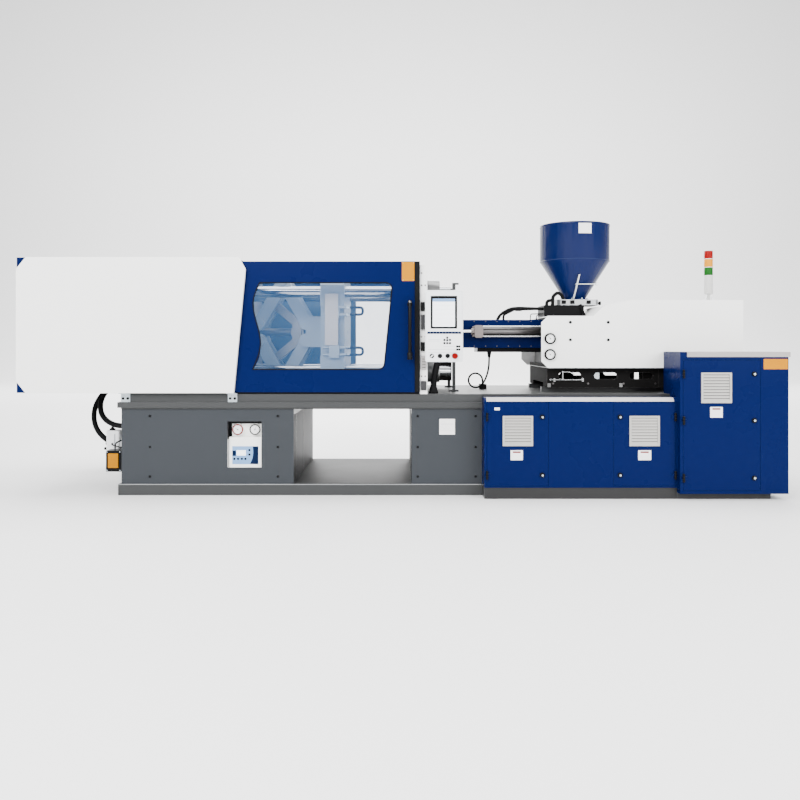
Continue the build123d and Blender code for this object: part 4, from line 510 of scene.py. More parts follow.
LINER_GREY = painted("liner_grey_paint", (0.011, 0.0112, 0.0118), 0.55, grey(0.05), dust=0.06)
BLACK_PAINT = painted("black_paint", (0.004, 0.004, 0.0045), 0.42, grey(0.04), dust=0.05, gloss=0.05)
CASTING = cast_iron("dark_casting", (0.0065, 0.0062, 0.0062))
POLISHED = steel("polished_steel", (0.78, 0.79, 0.80), 0.10, (2, 180, 180), 0.05)
TIE_BAR = steel("tie_bar_steel", (0.36, 0.37, 0.39), 0.16, (2, 180, 180), 0.06)
MACHINED = steel("machined_steel", (0.18, 0.18, 0.18), 0.36, (40, 300, 300))
BRIGHT = steel("bright_plate_steel", (0.36, 0.37, 0.38), 0.34, (60, 60, 200), 0.08)
DARK_STEEL = steel("dark_steel", (0.09, 0.085, 0.085), 0.30, (6, 220, 220), 0.10)
CYLINDER_HEAD = steel("cylinder_head_steel", (0.20, 0.17, 0.165), 0.42, (120, 120, 120), 0.10, 0.7)
ZINC = steel("zinc", (0.50, 0.56, 0.60), 0.28, (90, 90, 30))
WHITE_PLASTIC = moulded("white_plastic", (0.84, 0.85, 0.86), 0.40)
PANEL_WHITE = moulded("panel_white", (0.84, 0.86, 0.88), 0.34)
# White louvres darkened to grey all over: painted shade for the gaps between the slats
VENT_WHITE_PAINTED_SHADE = moulded("vent_white_painted_shade", (0.37, 0.36, 0.34), 0.42)
BLACK_PLASTIC = moulded("black_plastic", (0.004, 0.004, 0.0045), 0.36, specular=0.08)
DARK_GREY_PLASTIC = moulded("dark_grey_plastic", (0.03, 0.03, 0.032), 0.42, specular=0.15)
YELLOW = moulded("yellow_plastic", (0.45, 0.175, 0.0), 0.6, specular=0.01)
RED = moulded("red_plastic", (0.15, 0.0008, 0.0012), 0.36, specular=0.06)
KEY_BLUE = moulded("key_blue", (0.002, 0.008, 0.032), 0.36, specular=0.05)
HEAD_BLUE = moulded("screen_header_blue", (0.16, 0.30, 0.55), 0.30, specular=0.1)
RUBBER = moulded("black_rubber", (0.0045, 0.0045, 0.005), 0.5, 260.0, 0.00015, 0.06)
LABEL_WHITE = moulded("plain_white_label", (0.86, 0.86, 0.85), 0.45)
LINE_GREY = moulded("plain_line_grey", (0.36, 0.38, 0.41), 0.45)
PANE = clear_pane("clear_pane", (0.08, 0.22, 0.50), 0.05)
DIAL_GLASS = clear_pane("dial_glass", (0.95, 0.97, 1.0), 0.05)
SCREEN = glowing("screen", (0.93, 0.96, 1.0), 1.0)
TOWER = banded("tower_lenses", [
    (1.27, (0.55, 0.55, 0.54)), (1.470, (0.006, 0.085, 0.008)), (1.530, (0.62, 0.24, 0.001)),
    (1.590, (0.22, 0.001, 0.001)), (1.648, (0.35, 0.35, 0.35))], 0.35, 0.12)

# The record's slot for each finish, unless the piece gives its own; add_piece looks it up but keeps it nowhere
SLOTS = {
    "black_plastic": (BLACK_PLASTIC, DARK_GREY_PLASTIC, KEY_BLUE),
    "white_plastic": (WHITE_PLASTIC, PANEL_WHITE, LABEL_WHITE, LINE_GREY, HEAD_BLUE, SCREEN),
    "black_paint": (BLACK_PAINT, PLINTH_DARK, LINER_GREY),
    "panel_grey": (PANEL_GREY, INNER_SHADE_BLUE),
    "grey_paint": (PALE_GREY,),
    "pale_grey_paint": (STRIP_GREY,),
    "blue_paint": (HOPPER_BLUE,),
    "zinc": (ZINC, BRIGHT, DARK_STEEL),
    "machined_steel": (MACHINED, CYLINDER_HEAD),
    "polished_steel": (POLISHED,),
    "dark_casting": (CASTING,),
    "clear_pane": (DIAL_GLASS,),
    "yellow_plastic": (YELLOW,),
    "red_plastic": (RED,),
    "black_rubber": (RUBBER,),
}
SLOT_OF = {finish.name: slot for slot, finishes in SLOTS.items() for finish in finishes}

# Finish, width of the rounded edges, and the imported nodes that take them
DRESSES = (
    (BLUE, 0.0012, ("cover_hood", "front_gate", "rear_gate", "pump_enclosure", "pump_door_left",
                    "pump_door_right", "electrical_cabinet", "cabinet_door")),
    (BLUE, 0.001, ("hopper_lid", "barrel_guard")),
    (HOPPER_BLUE, 0.0008, ("hopper",)),
    (WHITE, 0.0012, ("side_covers", "injection_cover")),
    (WHITE, 0.0015, ("gate_posts",)),
    (WHITE, 0.001, ("service_panel",)),
    (BED_GREY, 0.0015, ("bed_frame",)),
    (BED_GREY, 0.002, ("panel_arm",)),
    (PANEL_GREY, 0.0015, ("bed_panels",)),
    (PALE_GREY, 0.0015, ("cabinet_lid",)),
    (PLATEN_PALE, 0.003, ("stationary_platen",)),
    (PLATEN_GREY, 0.003, ("moving_platen", "tail_platen")),
    (PLATEN_GREY, 0.002, ("rear_link_upper", "rear_link_lower", "front_links_upper", "front_links_lower")),
    (TIE_BAR, 0.002, ("tie_bars",)),
    (MACHINED, 0.002, ("tie_bar_nuts", "crosshead", "crosshead_link_upper", "crosshead_link_lower", "ejector",
                       "screw_drive")),
    (MACHINED, 0.0015, ("barrel",)),
    (MACHINED, 0.0, ("screw",)),
    (ZINC, 0.001, ("cover_brackets",)),
    (DARK_STEEL, 0.0015, ("traverse_cylinders",)),
    (POLISHED, 0.001, ("traverse_rods",)),
    (CASTING, 0.003, ("carriage",)),
    (BLACK_PAINT, 0.003, ("clamp_cylinder",)),
    (BLACK_PAINT, 0.002, ("feed_housing",)),
    (BLACK_PAINT, 0.001, ("gate_rails", "pressure_gauges")),
    (PANE, 0.0, ("front_gate_window", "rear_gate_window")),
    (VENT_WHITE_PAINTED_SHADE, 0.0006, ("pump_vent_left", "pump_vent_right", "cabinet_vent")),
    (WHITE_PLASTIC, 0.002, ("lubrication_pump",)),
    (PANEL_WHITE, 0.0, ("control_panel",)),
    (BLACK_PLASTIC, 0.002, ("junction_box", "front_gate_handle")),
    (BLACK_PLASTIC, 0.001, ("start_button", "stop_button")),
    (RED, 0.001, ("emergency_stop",)),
    (TOWER, 0.001, ("tower_light",)),
)


def dress_node(name, finish, bevel):
    """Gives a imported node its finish, with its flat faces joined and its sharp edges rounded by modifiers."""
    node = NODES[name]
    node.data.materials.clear()
    node.data.materials.append(finish)
    weld = node.modifiers.new("weld", "WELD")
    weld.merge_threshold = 1e-5
    if bevel:
        flat = node.modifiers.new("join_flat_faces", "DECIMATE")
        flat.decimate_type = "DISSOLVE"
        flat.angle_limit = radians(0.3)
        round_edges(node, bevel)


for dress_finish, dress_bevel, dress_names in DRESSES:
    for dress_name in dress_names:
        dress_node(dress_name, dress_finish, dress_bevel)


# Camera, floor and light

FLOOR_NEAR, FLOOR_FAR = -30.0, 16.0
FLOOR_HALF_WIDTH = 40.0
BACKDROP_RADIUS, BACKDROP_TOP = 8.0, 30.0

# Name, place, turn in degrees, width and depth, and power in watts
LIGHTS = (
    ("key", (-3.0, -6.5, 4.2), (58, 0, -25), (5.0, 3.0), 900),
    ("fill", (4.5, -5.5, 2.6), (70, 0, 38), (4.0, 3.0), 420),
    ("top", (0.0, 0.4, 5.0), (0, 0, 0), (7.0, 3.5), 500),
    ("back", (0.0, 6.0, 4.0), (-60, 0, 0), (7.0, 3.0), 520),
    ("backdrop_wash", (0.0, 9.0, 9.5), (42, 0, 0), (22.0, 3.0), 6500),
)


def add_camera():
    """The photograph's camera."""
    camera = bpy.data.objects.new("camera", bpy.data.cameras.new("camera"))
    camera.location = CAMERA_PLACE
    camera.rotation_euler = (radians(90), 0, 0)
    camera.data.lens = CAMERA_LENS
    camera.data.sensor_width = CAMERA_SENSOR
    camera.data.shift_y = CAMERA_SHIFT_Y
    bpy.context.scene.collection.objects.link(camera)
    bpy.context.scene.camera = camera


def add_floor():
    """A pale floor that runs far back and turns up into a backdrop along a quarter circle."""
    t = np.linspace(0, pi / 2, 12)
    back = FLOOR_FAR + BACKDROP_RADIUS
    run = np.concatenate([[FLOOR_NEAR, FLOOR_FAR], FLOOR_FAR + BACKDROP_RADIUS * np.sin(t), [back]])
    rise = np.concatenate([[0.0, 0.0], BACKDROP_RADIUS * (1 - np.cos(t)), [BACKDROP_TOP]])
    across = np.array([-FLOOR_HALF_WIDTH, FLOOR_HALF_WIDTH])
    points = np.stack(np.broadcast_arrays(across[None], run[:, None], rise[:, None]), -1).reshape(-1, 3)
    mesh = bpy.data.meshes.new("floor")
    mesh.from_pydata(points.tolist(), [], grid_faces(len(run), 2))
    mesh.shade_smooth()
    floor = bpy.data.objects.new("floor", mesh)
    material, _, shader = new_material("pale_floor")
    shader.inputs["Base Color"].default_value = (0.93, 0.93, 0.93, 1)
    shader.inputs["Roughness"].default_value = 0.6
    mesh.materials.append(material)
    bpy.context.scene.collection.objects.link(floor)


def add_light(name, place, turn, size, power):
    """A soft white area light."""
    data = bpy.data.lights.new(name, "AREA")
    data.shape = "RECTANGLE"
    data.size, data.size_y = size
    data.energy = power
    light = bpy.data.objects.new(name, data)
    light.location = place
    light.rotation_euler = [radians(angle) for angle in turn]
    bpy.context.scene.collection.objects.link(light)


def add_surround():
    """Even white light from all round."""
    world = bpy.data.worlds.new("surround")
    world.use_nodes = True
    background = world.node_tree.nodes["Background"]
    background.inputs["Color"].default_value = (1.0, 1.0, 1.0, 1)
    background.inputs["Strength"].default_value = 1.1
    bpy.context.scene.world = world


add_camera()
add_floor()
for light_settings in LIGHTS:
    add_light(*light_settings)
add_surround()


# Hoses and cables, in metres: their solids' routes, the clamp hoses eased to follow the photograph

CLAMP_HOSE_LOWER = [
    (-1.712, 0.045, 0.974), (-1.712, 0.045, 0.890), (-1.750, 0.036, 0.812), (-1.820, 0.012, 0.760),
    (-1.908, -0.018, 0.728), (-2.000, -0.050, 0.700), (-2.080, -0.082, 0.645), (-2.130, -0.110, 0.566),
    (-2.143, -0.130, 0.478), (-2.122, -0.142, 0.390), (-2.062, -0.149, 0.318), (-1.975, -0.151, 0.276),
    (-1.876, -0.150, 0.261), (-1.791, -0.150, 0.261)]
CLAMP_HOSE_UPPER = [
    (-1.712, -0.045, 0.974), (-1.712, -0.045, 0.892), (-1.746, -0.065, 0.820), (-1.809, -0.100, 0.769),
    (-1.888, -0.145, 0.736), (-1.969, -0.190, 0.704), (-2.027, -0.232, 0.646), (-2.046, -0.268, 0.567),
    (-2.023, -0.296, 0.491), (-1.962, -0.316, 0.440), (-1.879, -0.330, 0.420), (-1.791, -0.330, 0.420)]
PANEL_CABLE = [
    (0.285, -0.520, 1.070), (0.285, -0.520, 1.003), (0.277, -0.524, 0.926), (0.259, -0.523, 0.850),
    (0.243, -0.509, 0.780), (0.235, -0.494, 0.716), (0.235, -0.494, 0.655)]
BARREL_CABLE = [
    (0.656, -0.010, 0.923), (0.656, -0.010, 0.860), (0.651, -0.009, 0.797), (0.635, -0.007, 0.739),
    (0.612, -0.004, 0.695), (0.580, 0.000, 0.668), (0.542, 0.008, 0.667), (0.512, 0.016, 0.694),
    (0.509, 0.024, 0.735), (0.535, 0.031, 0.766), (0.576, 0.038, 0.771), (0.608, 0.044, 0.745),
    (0.615, 0.048, 0.713), (0.615, 0.048, 0.690)]


def add_cord(name, route, diameter):
    """A hose or cable on one smooth curve, in place of its solid."""
    curve = bpy.data.curves.new(name + "_line", "CURVE")
    curve.dimensions = "3D"
    spline = curve.splines.new("NURBS")
    spline.points.add(len(route) - 1)
    weights = np.ones((len(route), 1))
    spline.points.foreach_set("co", np.hstack([route, weights]).ravel())
    spline.order_u = 3
    spline.use_endpoint_u = True
    curve.resolution_u = 10
    curve.bevel_depth = diameter / 2
    curve.bevel_resolution = 5
    curve.materials.append(RUBBER)
    cord = bpy.data.objects.new(name + "_cord", curve)
    bpy.context.scene.collection.objects.link(cord)
    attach(cord, "bed")
    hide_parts(name)


add_cord("clamp_hose_lower", CLAMP_HOSE_LOWER, 0.036)
add_cord("clamp_hose_upper", CLAMP_HOSE_UPPER, 0.036)
add_cord("panel_cable", PANEL_CABLE, 0.042)
add_cord("barrel_cable", BARREL_CABLE, 0.014)


# Small shapes that several pieces share

def front_button(place, radius, height, edge=0.001, segments=20):
    """A round button that stands out of a face towards -Y."""
    profile = button_profile(radius, height, edge) * np.array([1, -1])
    return turned(profile, place, "y", segments)


def front_plate(x0, x1, z0, z1, face, thick, radius=0.002):
    """A thin plate with round corners on a face that looks to -Y."""
    return plate(rounded_outline(x0, x1, z0, z1, radius, 4), face - thick, face)


def front_ring(place, inner, outer, height):
    """A flat ring with a bevelled outer edge on a face that looks to -Y."""
    edge = min(0.3 * (outer - inner), 0.002)
    profile = [(inner, 0), (outer, 0), (outer, edge - height), (outer - edge, -height), (inner, -height),
               (inner, 0)]
    return turned(profile, place, "y")


def rod(radius, start, end, centre, axis, segments):
    """A plain round rod between two places along an axis."""
    return turned([(0, start), (radius, start), (radius, end), (0, end)], centre, axis, segments)


def bent_pipe(points, bend, radius, segments=16):
    """A pipe along straight runs with rounded bends between them."""
    return pipe(rounded_path(points, bend), radius, segments)


def screws_at(places, radius):
    """Round screw heads with hexagon sockets, on a face that looks to -Y."""
    head = front_button((0, 0, 0), radius, 0.55 * radius, 0.2 * radius)
    socket = turned([(0.5 * radius, -0.56 * radius), (0.5 * radius, -0.3 * radius), (0, -0.3 * radius)],
                    (0, 0, 0), "y", 6)
    return [copies(head, places), copies(socket, places)]


# Gauges

DIAL_START, DIAL_SWEEP, DIAL_MARKS = 225, 270, 13
WIDEST_OPENING = 0.91


def dial_marks(place, radius):
    """Scale marks round a dial: one thin bar per step, turned by its angle about the dial's centre."""
    bar, faces = box(-0.0009, 0.0009, -0.0008, 0.0, 0.70 * radius, 0.90 * radius, 0.0002)
    turn = np.radians(90 - DIAL_START + DIAL_SWEEP * np.arange(DIAL_MARKS) / (DIAL_MARKS - 1))[:, None]
    x = bar[:, 0] * np.cos(turn) + bar[:, 2] * np.sin(turn)
    z = bar[:, 2] * np.cos(turn) - bar[:, 0] * np.sin(turn)
    y = np.broadcast_to(bar[:, 1], x.shape)
    points = np.stack([x, y, z], -1).reshape(-1, 3) + np.asarray(place, float)
    return points, repeated_faces(faces, len(bar), DIAL_MARKS)


def needle(place, length, angle):
    """A tapered pointer about a dial's centre, turned clockwise from upright by an angle in degrees."""
    outline = np.array([(-0.0016, -0.3), (0.0016, -0.3), (0.0005, 1.0), (-0.0005, 1.0)]) * [1, length]
    c, s = np.cos(radians(angle)), np.sin(radians(angle))
    outline = outline @ np.array([[c, -s], [s, c]]) + np.array([place[0], place[2]])
    return plate(outline, place[1] - 0.0014, place[1] - 0.0006)


def add_gauge(name, place, radius, body, angle, ring_finish, open_share):
    """A pressure gauge: white face, scale marks, pointer with hub, coloured ring and glass."""
    x, y, z = place
    front = (x, y - 0.0012, z)
    dial = open_share / WIDEST_OPENING * radius
    face = front_button(place, 0.93 * radius, 0.0012, 0.0003, 32)
    marks = [dial_marks(front, dial), needle(front, 0.7 * dial, angle),
             front_button(front, 0.12 * dial, 0.003, 0.0008)]
    ring = front_ring(place, open_share * radius, radius, 0.0042)
    glass = front_button((x, y - 0.0034, z), (open_share + 0.01) * radius, 0.0008, 0.0003, 32)
    add_piece(name + "_face", [face], body, LABEL_WHITE)
    add_piece(name + "_marks", marks, body, BLACK_PLASTIC)
    add_piece(name + "_ring", [ring], body, ring_finish, slot="black_plastic")
    add_piece(name + "_glass", [glass], body, DIAL_GLASS)


# Gates

WINDOW_LOW, WINDOW_HIGH = 0.815, 1.374
WINDOW_LEFT, WINDOW_RIGHT = -0.935, -0.037
WINDOW_WAVE = 0.050
WINDOW_SLANT = 0.052
GASKET_SECTION = [(-0.004, 0.0), (0.004, 0.0), (0.004, 0.0018), (0.0025, 0.003), (-0.0025, 0.003),
                  (-0.004, 0.0018)]
SEAL_LEFT, SEAL_RIGHT = 0.110, 0.1428
HANDLE_X = 0.078
HANDLE_FEET = (0.902, 1.235)
HANDLE_BOTTOM, HANDLE_TOP = 0.880, 1.257
GRIP_RADIUS = 0.0112
GRIP_OUT = 0.042


def natural_curve(points, count):
    """A natural cubic spline through points: second slope nought at both ends, found from a small system."""
    points = np.asarray(points, float)
    knots = np.concatenate([[0], np.cumsum(np.linalg.norm(np.diff(points, axis=0), axis=1))])
    gap = np.diff(knots)[:, None]
    slope = np.diff(points, axis=0) / gap
    inner = np.diag(2 * (gap[:-1] + gap[1:])[:, 0]) + np.diag(gap[1:-1, 0], 1) + np.diag(gap[1:-1, 0], -1)
    bend = np.vstack([np.zeros(2), np.linalg.solve(inner, 6 * np.diff(slope, axis=0)), np.zeros(2)])
    t = np.linspace(0, knots[-1], count)
    k = np.clip(np.searchsorted(knots, t, side="right") - 1, 0, len(gap) - 1)
    a, b = (knots[k + 1] - t)[:, None] / gap[k], (t - knots[k])[:, None] / gap[k]
    curve = a * points[k] + b * points[k + 1]
    return curve + ((a ** 3 - a) * bend[k] + (b ** 3 - b) * bend[k + 1]) * gap[k] ** 2 / 6


def quarter_round(start, end, flat_first):
    """A quarter of an ellipse between two (x, z) points, level at one end and upright at the other."""
    (x0, z0), (x1, z1) = start, end
    t = np.linspace(0, pi / 2, 9)
    if flat_first:
        return np.stack([x0 + (x1 - x0) * np.sin(t), z1 + (z0 - z1) * np.cos(t)], -1)
    return np.stack([x1 + (x0 - x1) * np.cos(t), z0 + (z1 - z0) * np.sin(t)], -1)


def window_path():
    """The gate's window: a wavy left edge, two level edges and a leaning right edge with round corners."""
    height = WINDOW_HIGH - WINDOW_LOW
    radius = 0.07 * height
    lean = WINDOW_SLANT * radius / height
    wave = natural_curve([
        (WINDOW_LEFT, WINDOW_LOW), (WINDOW_LEFT + WINDOW_WAVE, WINDOW_LOW + 0.29 * height),
        (WINDOW_LEFT + 0.005, WINDOW_LOW + 0.8 * height), (WINDOW_LEFT + 0.9 * WINDOW_WAVE, WINDOW_HIGH)], 48)
    upper = quarter_round((WINDOW_RIGHT - radius, WINDOW_HIGH), (WINDOW_RIGHT, WINDOW_HIGH - radius), True)
    foot = WINDOW_RIGHT - WINDOW_SLANT
    lower = quarter_round((foot + lean, WINDOW_LOW + radius), (foot - radius, WINDOW_LOW), False)
    return np.vstack([wave, upper, lower])


def closing_strip():
    """The rubber strip on the gate's closing edge, with its raised lip."""
    strip = front_plate(SEAL_LEFT, SEAL_RIGHT, 0.669, 1.511, GATE_FACE, 0.005)
    lip = box(SEAL_LEFT + 0.004, SEAL_RIGHT - 0.003, GATE_FACE - 0.009, GATE_FACE - 0.004, 0.673, 1.507)
    return [strip, lip]


def handle_cap():
    """The steel cap on top of the handle's grip."""
    profile = [(GRIP_RADIUS, -0.016), (0.0120, -0.015), (0.0120, -0.003), (0.0100, 0.0005), (0, 0.001),
               (0, -0.002), (GRIP_RADIUS, -0.002)]
    return turned(profile, (HANDLE_X, GATE_FACE - GRIP_OUT, HANDLE_TOP), "z", 24)


def handle_base():
    """The thicker foot of the handle's grip."""
    profile = [(GRIP_RADIUS, -0.001), (0.0165, -0.001), (0.0165, 0.040), (0.0140, 0.046),
               (GRIP_RADIUS, 0.047)]
    return turned(profile, (HANDLE_X, GATE_FACE - GRIP_OUT, HANDLE_BOTTOM), "z", 24)


def gate_trim(side):
    """One gate's trim: the seal round the window, the rubber closing strip and the handle's fittings."""
    gasket = frame_strip(window_path(), GASKET_SECTION, GATE_FACE)
    feet = [front_ring((HANDLE_X, GATE_FACE, z), 0.0085, 0.017, 0.006) for z in HANDLE_FEET]
    trim = (
        ("_window_gasket", [gasket], RUBBER, 0.0),
        ("_closing_strip", closing_strip(), RUBBER, 0.0008),
        ("_handle_feet", feet, BLACK_PLASTIC, 0.0),
        ("_handle_cap", [handle_cap()], DARK_STEEL, 0.0),
        ("_handle_base", [handle_base()], BLACK_PLASTIC, 0.0),
    )
    for name, shapes, finish, bevel in trim:
        if side == "rear":
            shapes = mirrored(shapes)
        add_piece(side + name, shapes, side + "_gate", finish, bevel)


def rear_handle():
    """A round pull on the rear gate, with two stand-offs that reach the sheet."""
    low, high = HANDLE_BOTTOM, HANDLE_TOP
    grip = turned([(0, low), (0.009, low + 0.001), (0.011, low + 0.005), (0.011, high - 0.005),
                   (0.009, high - 0.001), (0, high)], (HANDLE_X, GRIP_OUT - GATE_FACE, 0), "z", 24)
    arms = [rod(0.0088, 0, GRIP_OUT, (HANDLE_X, -GATE_FACE, z), "y", 20) for z in HANDLE_FEET]
    add_piece("rear_gate_handle", [grip, *arms], "rear_gate", BLACK_PLASTIC)


def add_gates():
    """Both gates' trim, and the plain yellow plate on the front one."""
    gate_trim("front")
    gate_trim("rear")
    rear_handle()
    yellow = front_plate(0.027, 0.108, 1.385, 1.508, GATE_FACE, 0.0012, 0.003)
    add_piece("gate_plate", [yellow], "front_gate", YELLOW, 0.0003)
    corners = [(x, GATE_FACE - 0.0012, z) for x in (0.034, 0.101) for z in (1.392, 1.501)]
    rivet = front_button((0, 0, 0), 0.0022, 0.0012, 0.0006, 12)
    add_piece("gate_plate_rivets", [copies(rivet, corners)], "front_gate", ZINC)


# Posts and buffers

POST_FACE = -0.585
POST_SCREWS = ((0.155, 1.359), (0.178, 1.359), (0.155, 1.438), (0.155, 1.025), (0.178, 1.025), (0.155, 0.770),
               (0.178, 0.770))


def post_block(low, high):
    """A block on the post between two heights."""
    return box(0.1500, 0.1862, -0.6005, POST_FACE, low, high, 0.003)


def add_posts():
    """Rubber buffers, painted recess shade, ribs and screws on the posts that the gates close against."""
    buffers = [box(0.1485, 0.1800, -0.6015, POST_FACE, z - 0.0295, z + 0.0295, 0.004)
               for z in (0.962, 1.2205)]
    add_piece("post_buffers", both_sides(buffers), "bed", RUBBER, 0.0015)
    # Grey plates on the post are painted shade where it has recesses: lighter here, darker above and below
    add_piece("post_pale_painted_shade", both_sides([post_block(0.812, 0.902)]), "bed", PALE_GREY, 0.0012)
    dark_shade_plates = [post_block(1.072, 1.169), post_block(0.680, 0.740)]
    add_piece("post_dark_painted_shade", both_sides(dark_shade_plates), "bed", DARK_GREY_PLASTIC, 0.0012, "grey_paint")
    ribs = [box(0.156, 0.180, -0.6020, -0.6005, z, z + 0.004) for z in np.arange(0.826, 0.892, 0.018)]
    add_piece("post_ribs", both_sides(ribs), "bed", DARK_GREY_PLASTIC)
    heads = copies(front_button((0, 0, 0), 0.0045, 0.003), [(x, POST_FACE, z) for x, z in POST_SCREWS])
    add_piece("post_screws", both_sides([heads]), "bed", BLACK_PLASTIC)


# Bed

def add_bed_details():
    """Bed panel screws and seams, the plain plate, bracket bolts, plinth strips and a painted plinth highlight.
    """
    places = [(x, BED_FRONT, z) for x in (-1.606, -0.777, 0.130, 0.505) for z in (0.120, 0.311, 0.512)]
    add_piece("bed_panel_screws", screws_at(places, 0.0080), "bed", BLACK_PLASTIC)
    seams = [front_plate(x, x + 0.0018, 0.120, 0.512, BED_FRONT, 0.0003, 0.0004) for x in (-0.768, 0.121)]
    add_piece("bed_panel_seams", seams, "bed", DARK_GREY_PLASTIC)
    # A bright strip on the plinth's top edge: a painted highlight where the ledge catches the light
    edge = front_plate(-1.809, 0.546, 0.0685, 0.0728, -0.585, 0.0004, 0.0008)
    add_piece("plinth_painted_highlight", both_sides([edge]), "bed", BRIGHT)
    white = front_plate(0.270, 0.371, 0.392, 0.493, BED_FRONT, 0.0012)
    add_piece("bed_plate", [white], "bed", LABEL_WHITE, 0.0003)
    lines = [front_plate(0.278, 0.363, low, high, BED_FRONT - 0.0012, 0.0003, radius)
             for low, high, radius in ((0.459, 0.461, 0.0005), (0.416, 0.417, 0.0004))]
    add_piece("bed_plate_line", lines, "bed", LINE_GREY, slot="grey_paint")
    bolts = [(left + x, -0.589, 0.627) for left in (-1.790, -1.098) for x in (0.015, 0.045)]
    add_piece("bracket_bolts", both_sides(screws_at(bolts, 0.0085)), "bed", BLACK_PLASTIC)
    plinths = [front_plate(0.549, 1.763, 0.003, 0.071, -0.710, 0.0015),
               front_plate(1.767, 2.354, 0.003, 0.040, -0.710, 0.0015)]
    add_piece("plinth_strips", plinths, "bed", PLINTH_DARK, 0.0005)


CONTROLLER_FACE = -0.548
CONTROLLER_STEP = CONTROLLER_FACE - 0.0008


def controller_face():
    """The controller's face: a pale blue field, dark fields, a display and round keys."""
    step = CONTROLLER_STEP
    add_piece("controller_field", [front_plate(-1.078, -0.908, 0.196, 0.313, CONTROLLER_FACE, 0.0008)], "bed",
              HEAD_BLUE, 0.0002)
    dark = [(-0.962, 0.1965), (-0.9085, 0.1965), (-0.9085, 0.3125), (-0.944, 0.3125), (-0.941, 0.27),
            (-0.946, 0.235)]
    left = rounded_outline(-1.0775, -1.053, 0.250, 0.285, 0.003)
    fields = [plate(outline, step - 0.0006, step) for outline in (dark, left)]
    add_piece("controller_dark_fields", fields, "bed", KEY_BLUE, 0.0002)
    display = front_plate(-1.050, -0.990, 0.253, 0.287, step, 0.0010)
    add_piece("controller_display", [display], "bed", SCREEN, 0.0002)
    keys = [(x, step, 0.231) for x in (-1.064, -1.040, -1.015, -0.992)]
    keys += [(-0.966, step, z) for z in (0.259, 0.288)]
    add_piece("controller_keys", [copies(front_button((0, 0, 0), 0.0072, 0.003), keys)], "bed", BLACK_PLASTIC)


def service_face():
    """The controller, painted shade in the gaps and on the left wall of the service recess, and two gauges."""
    controller_face()
    # Black plates that are painted shade: in the gaps at the back of the recess and on its left wall
    gaps = [front_plate(-1.1035, -1.087, 0.360, 0.4765, -0.508, 0.0008, 0.001),
            box(-1.1045, -1.1032, -0.5655, -0.508, 0.360, 0.4765, 0.0003),
            front_plate(-1.0885, -0.8845, 0.456, 0.4765, -0.508, 0.0008, 0.001)]
    add_piece("service_recess_painted_shade", gaps, "bed", BLACK_PLASTIC)
    add_gauge("service_gauge_left", (-1.0443, -0.538, 0.421), 0.036, "bed", -60, RED, 0.80)
    add_gauge("service_gauge_right", (-0.9316, -0.538, 0.421), 0.036, "bed", 20, BLACK_PLASTIC, 0.80)


# Lubrication pump and junction box

def add_bed_end():
    """The lubrication tank's cap, knobs and level strip, the junction box's yellow lid, and two conduits."""
    cap = turned([(0, 0.387), (0.020, 0.387), (0.020, 0.396), (0.016, 0.400), (0.010, 0.401), (0.010, 0.410),
                  (0.0, 0.411)], (-1.965, -0.250, 0), "z", 24)
    knob = turned([(0, 0), (0.008, 0), (0.010, -0.006), (0.010, -0.018), (0.007, -0.022), (0, -0.022)],
                  (0, 0, 0), "x", 20)
    knobs = copies(knob, [(-1.994, -0.265, 0.262), (-1.994, -0.235, 0.292)])
    add_piece("lubrication_cap_and_knobs", [cap, knobs], "bed", BLACK_PLASTIC)
    add_piece("lubrication_level_strip", [front_plate(-1.938, -1.930, 0.255, 0.365, -0.295, 0.001)], "bed",
              LINE_GREY, slot="clear_pane")
    lid = front_plate(-1.934, -1.866, 0.152, 0.249, -0.421, 0.0025, 0.004)
    add_piece("junction_lid", [lid], "bed", YELLOW, 0.0008)
    corners = [(x, -0.415, z) for x in (-1.943, -1.857) for z in (0.135, 0.258)]
    add_piece("junction_screws", screws_at(corners, 0.004), "bed", ZINC)
    thick = bent_pipe([(-1.905, -0.370, 0.262), (-1.905, -0.370, 0.312), (-1.855, -0.352, 0.334),
                       (BED_LEFT, -0.350, 0.334)], 0.022, 0.005)
    thin = bent_pipe([(-1.949, -0.295, 0.300), (-1.949, -0.330, 0.300), (-1.870, -0.365, 0.280),
                      (BED_LEFT, -0.365, 0.280)], 0.025, 0.004)
    add_piece("bed_end_conduits", [thick, thin], "bed", RUBBER)


# Doors: node, face, hinge line, side the door lies on, width, and heights of its latches and hinges

DOORS = (
    ("pump_door_left", PUMP_FACE, 0.563, 1, 0.386, (0.153, 0.519)),
    ("pump_door_right", PUMP_FACE, 1.749, -1, 0.386, (0.153, 0.519)),
    ("cabinet_door", CABINET_FACE, 1.785, 1, 0.480, (0.142, 0.501, 0.791)),
)
LATCH_FROM_EDGE = 0.038
LATCH_CUP = ((0.0095, 0), (0.0152, 0), (0.0152, -0.0078), (0.0140, -0.0095), (0.0095, -0.0095),
             (0.0095, -0.0082), (0, -0.0082))
KNUCKLE_INNER, KNUCKLE_OUTER = 0.0032, 0.0078
DOOR_KNUCKLES = ((-0.0083, 0.0083),)
FRAME_KNUCKLES = ((0.0088, 0.0262), (-0.0262, -0.0088))


def latches(places):
    """The black cups of quarter-turn latches, and their bright slotted cores."""
    cup = turned(LATCH_CUP, (0, 0, 0), "y", 28)
    core = front_button((0.001, -0.0082, -0.001), 0.0068, 0.0028)
    slot = box(-0.0058, 0.0078, -0.0125, -0.0105, -0.0020, -0.0005, 0.0004)
    return [copies(cup, places)], [copies(core, places), copies(slot, places)]


def knuckles(place, heights, spans):
    """Sleeves over a hinge pin, one for each span at each height."""
    inner, outer = KNUCKLE_INNER, KNUCKLE_OUTER
    ends = [(z + low, z + high) for z in heights for low, high in spans]
    return [turned([(inner, low), (outer, low), (outer, high), (inner, high), (inner, low)], place, "z", 20)
            for low, high in ends]


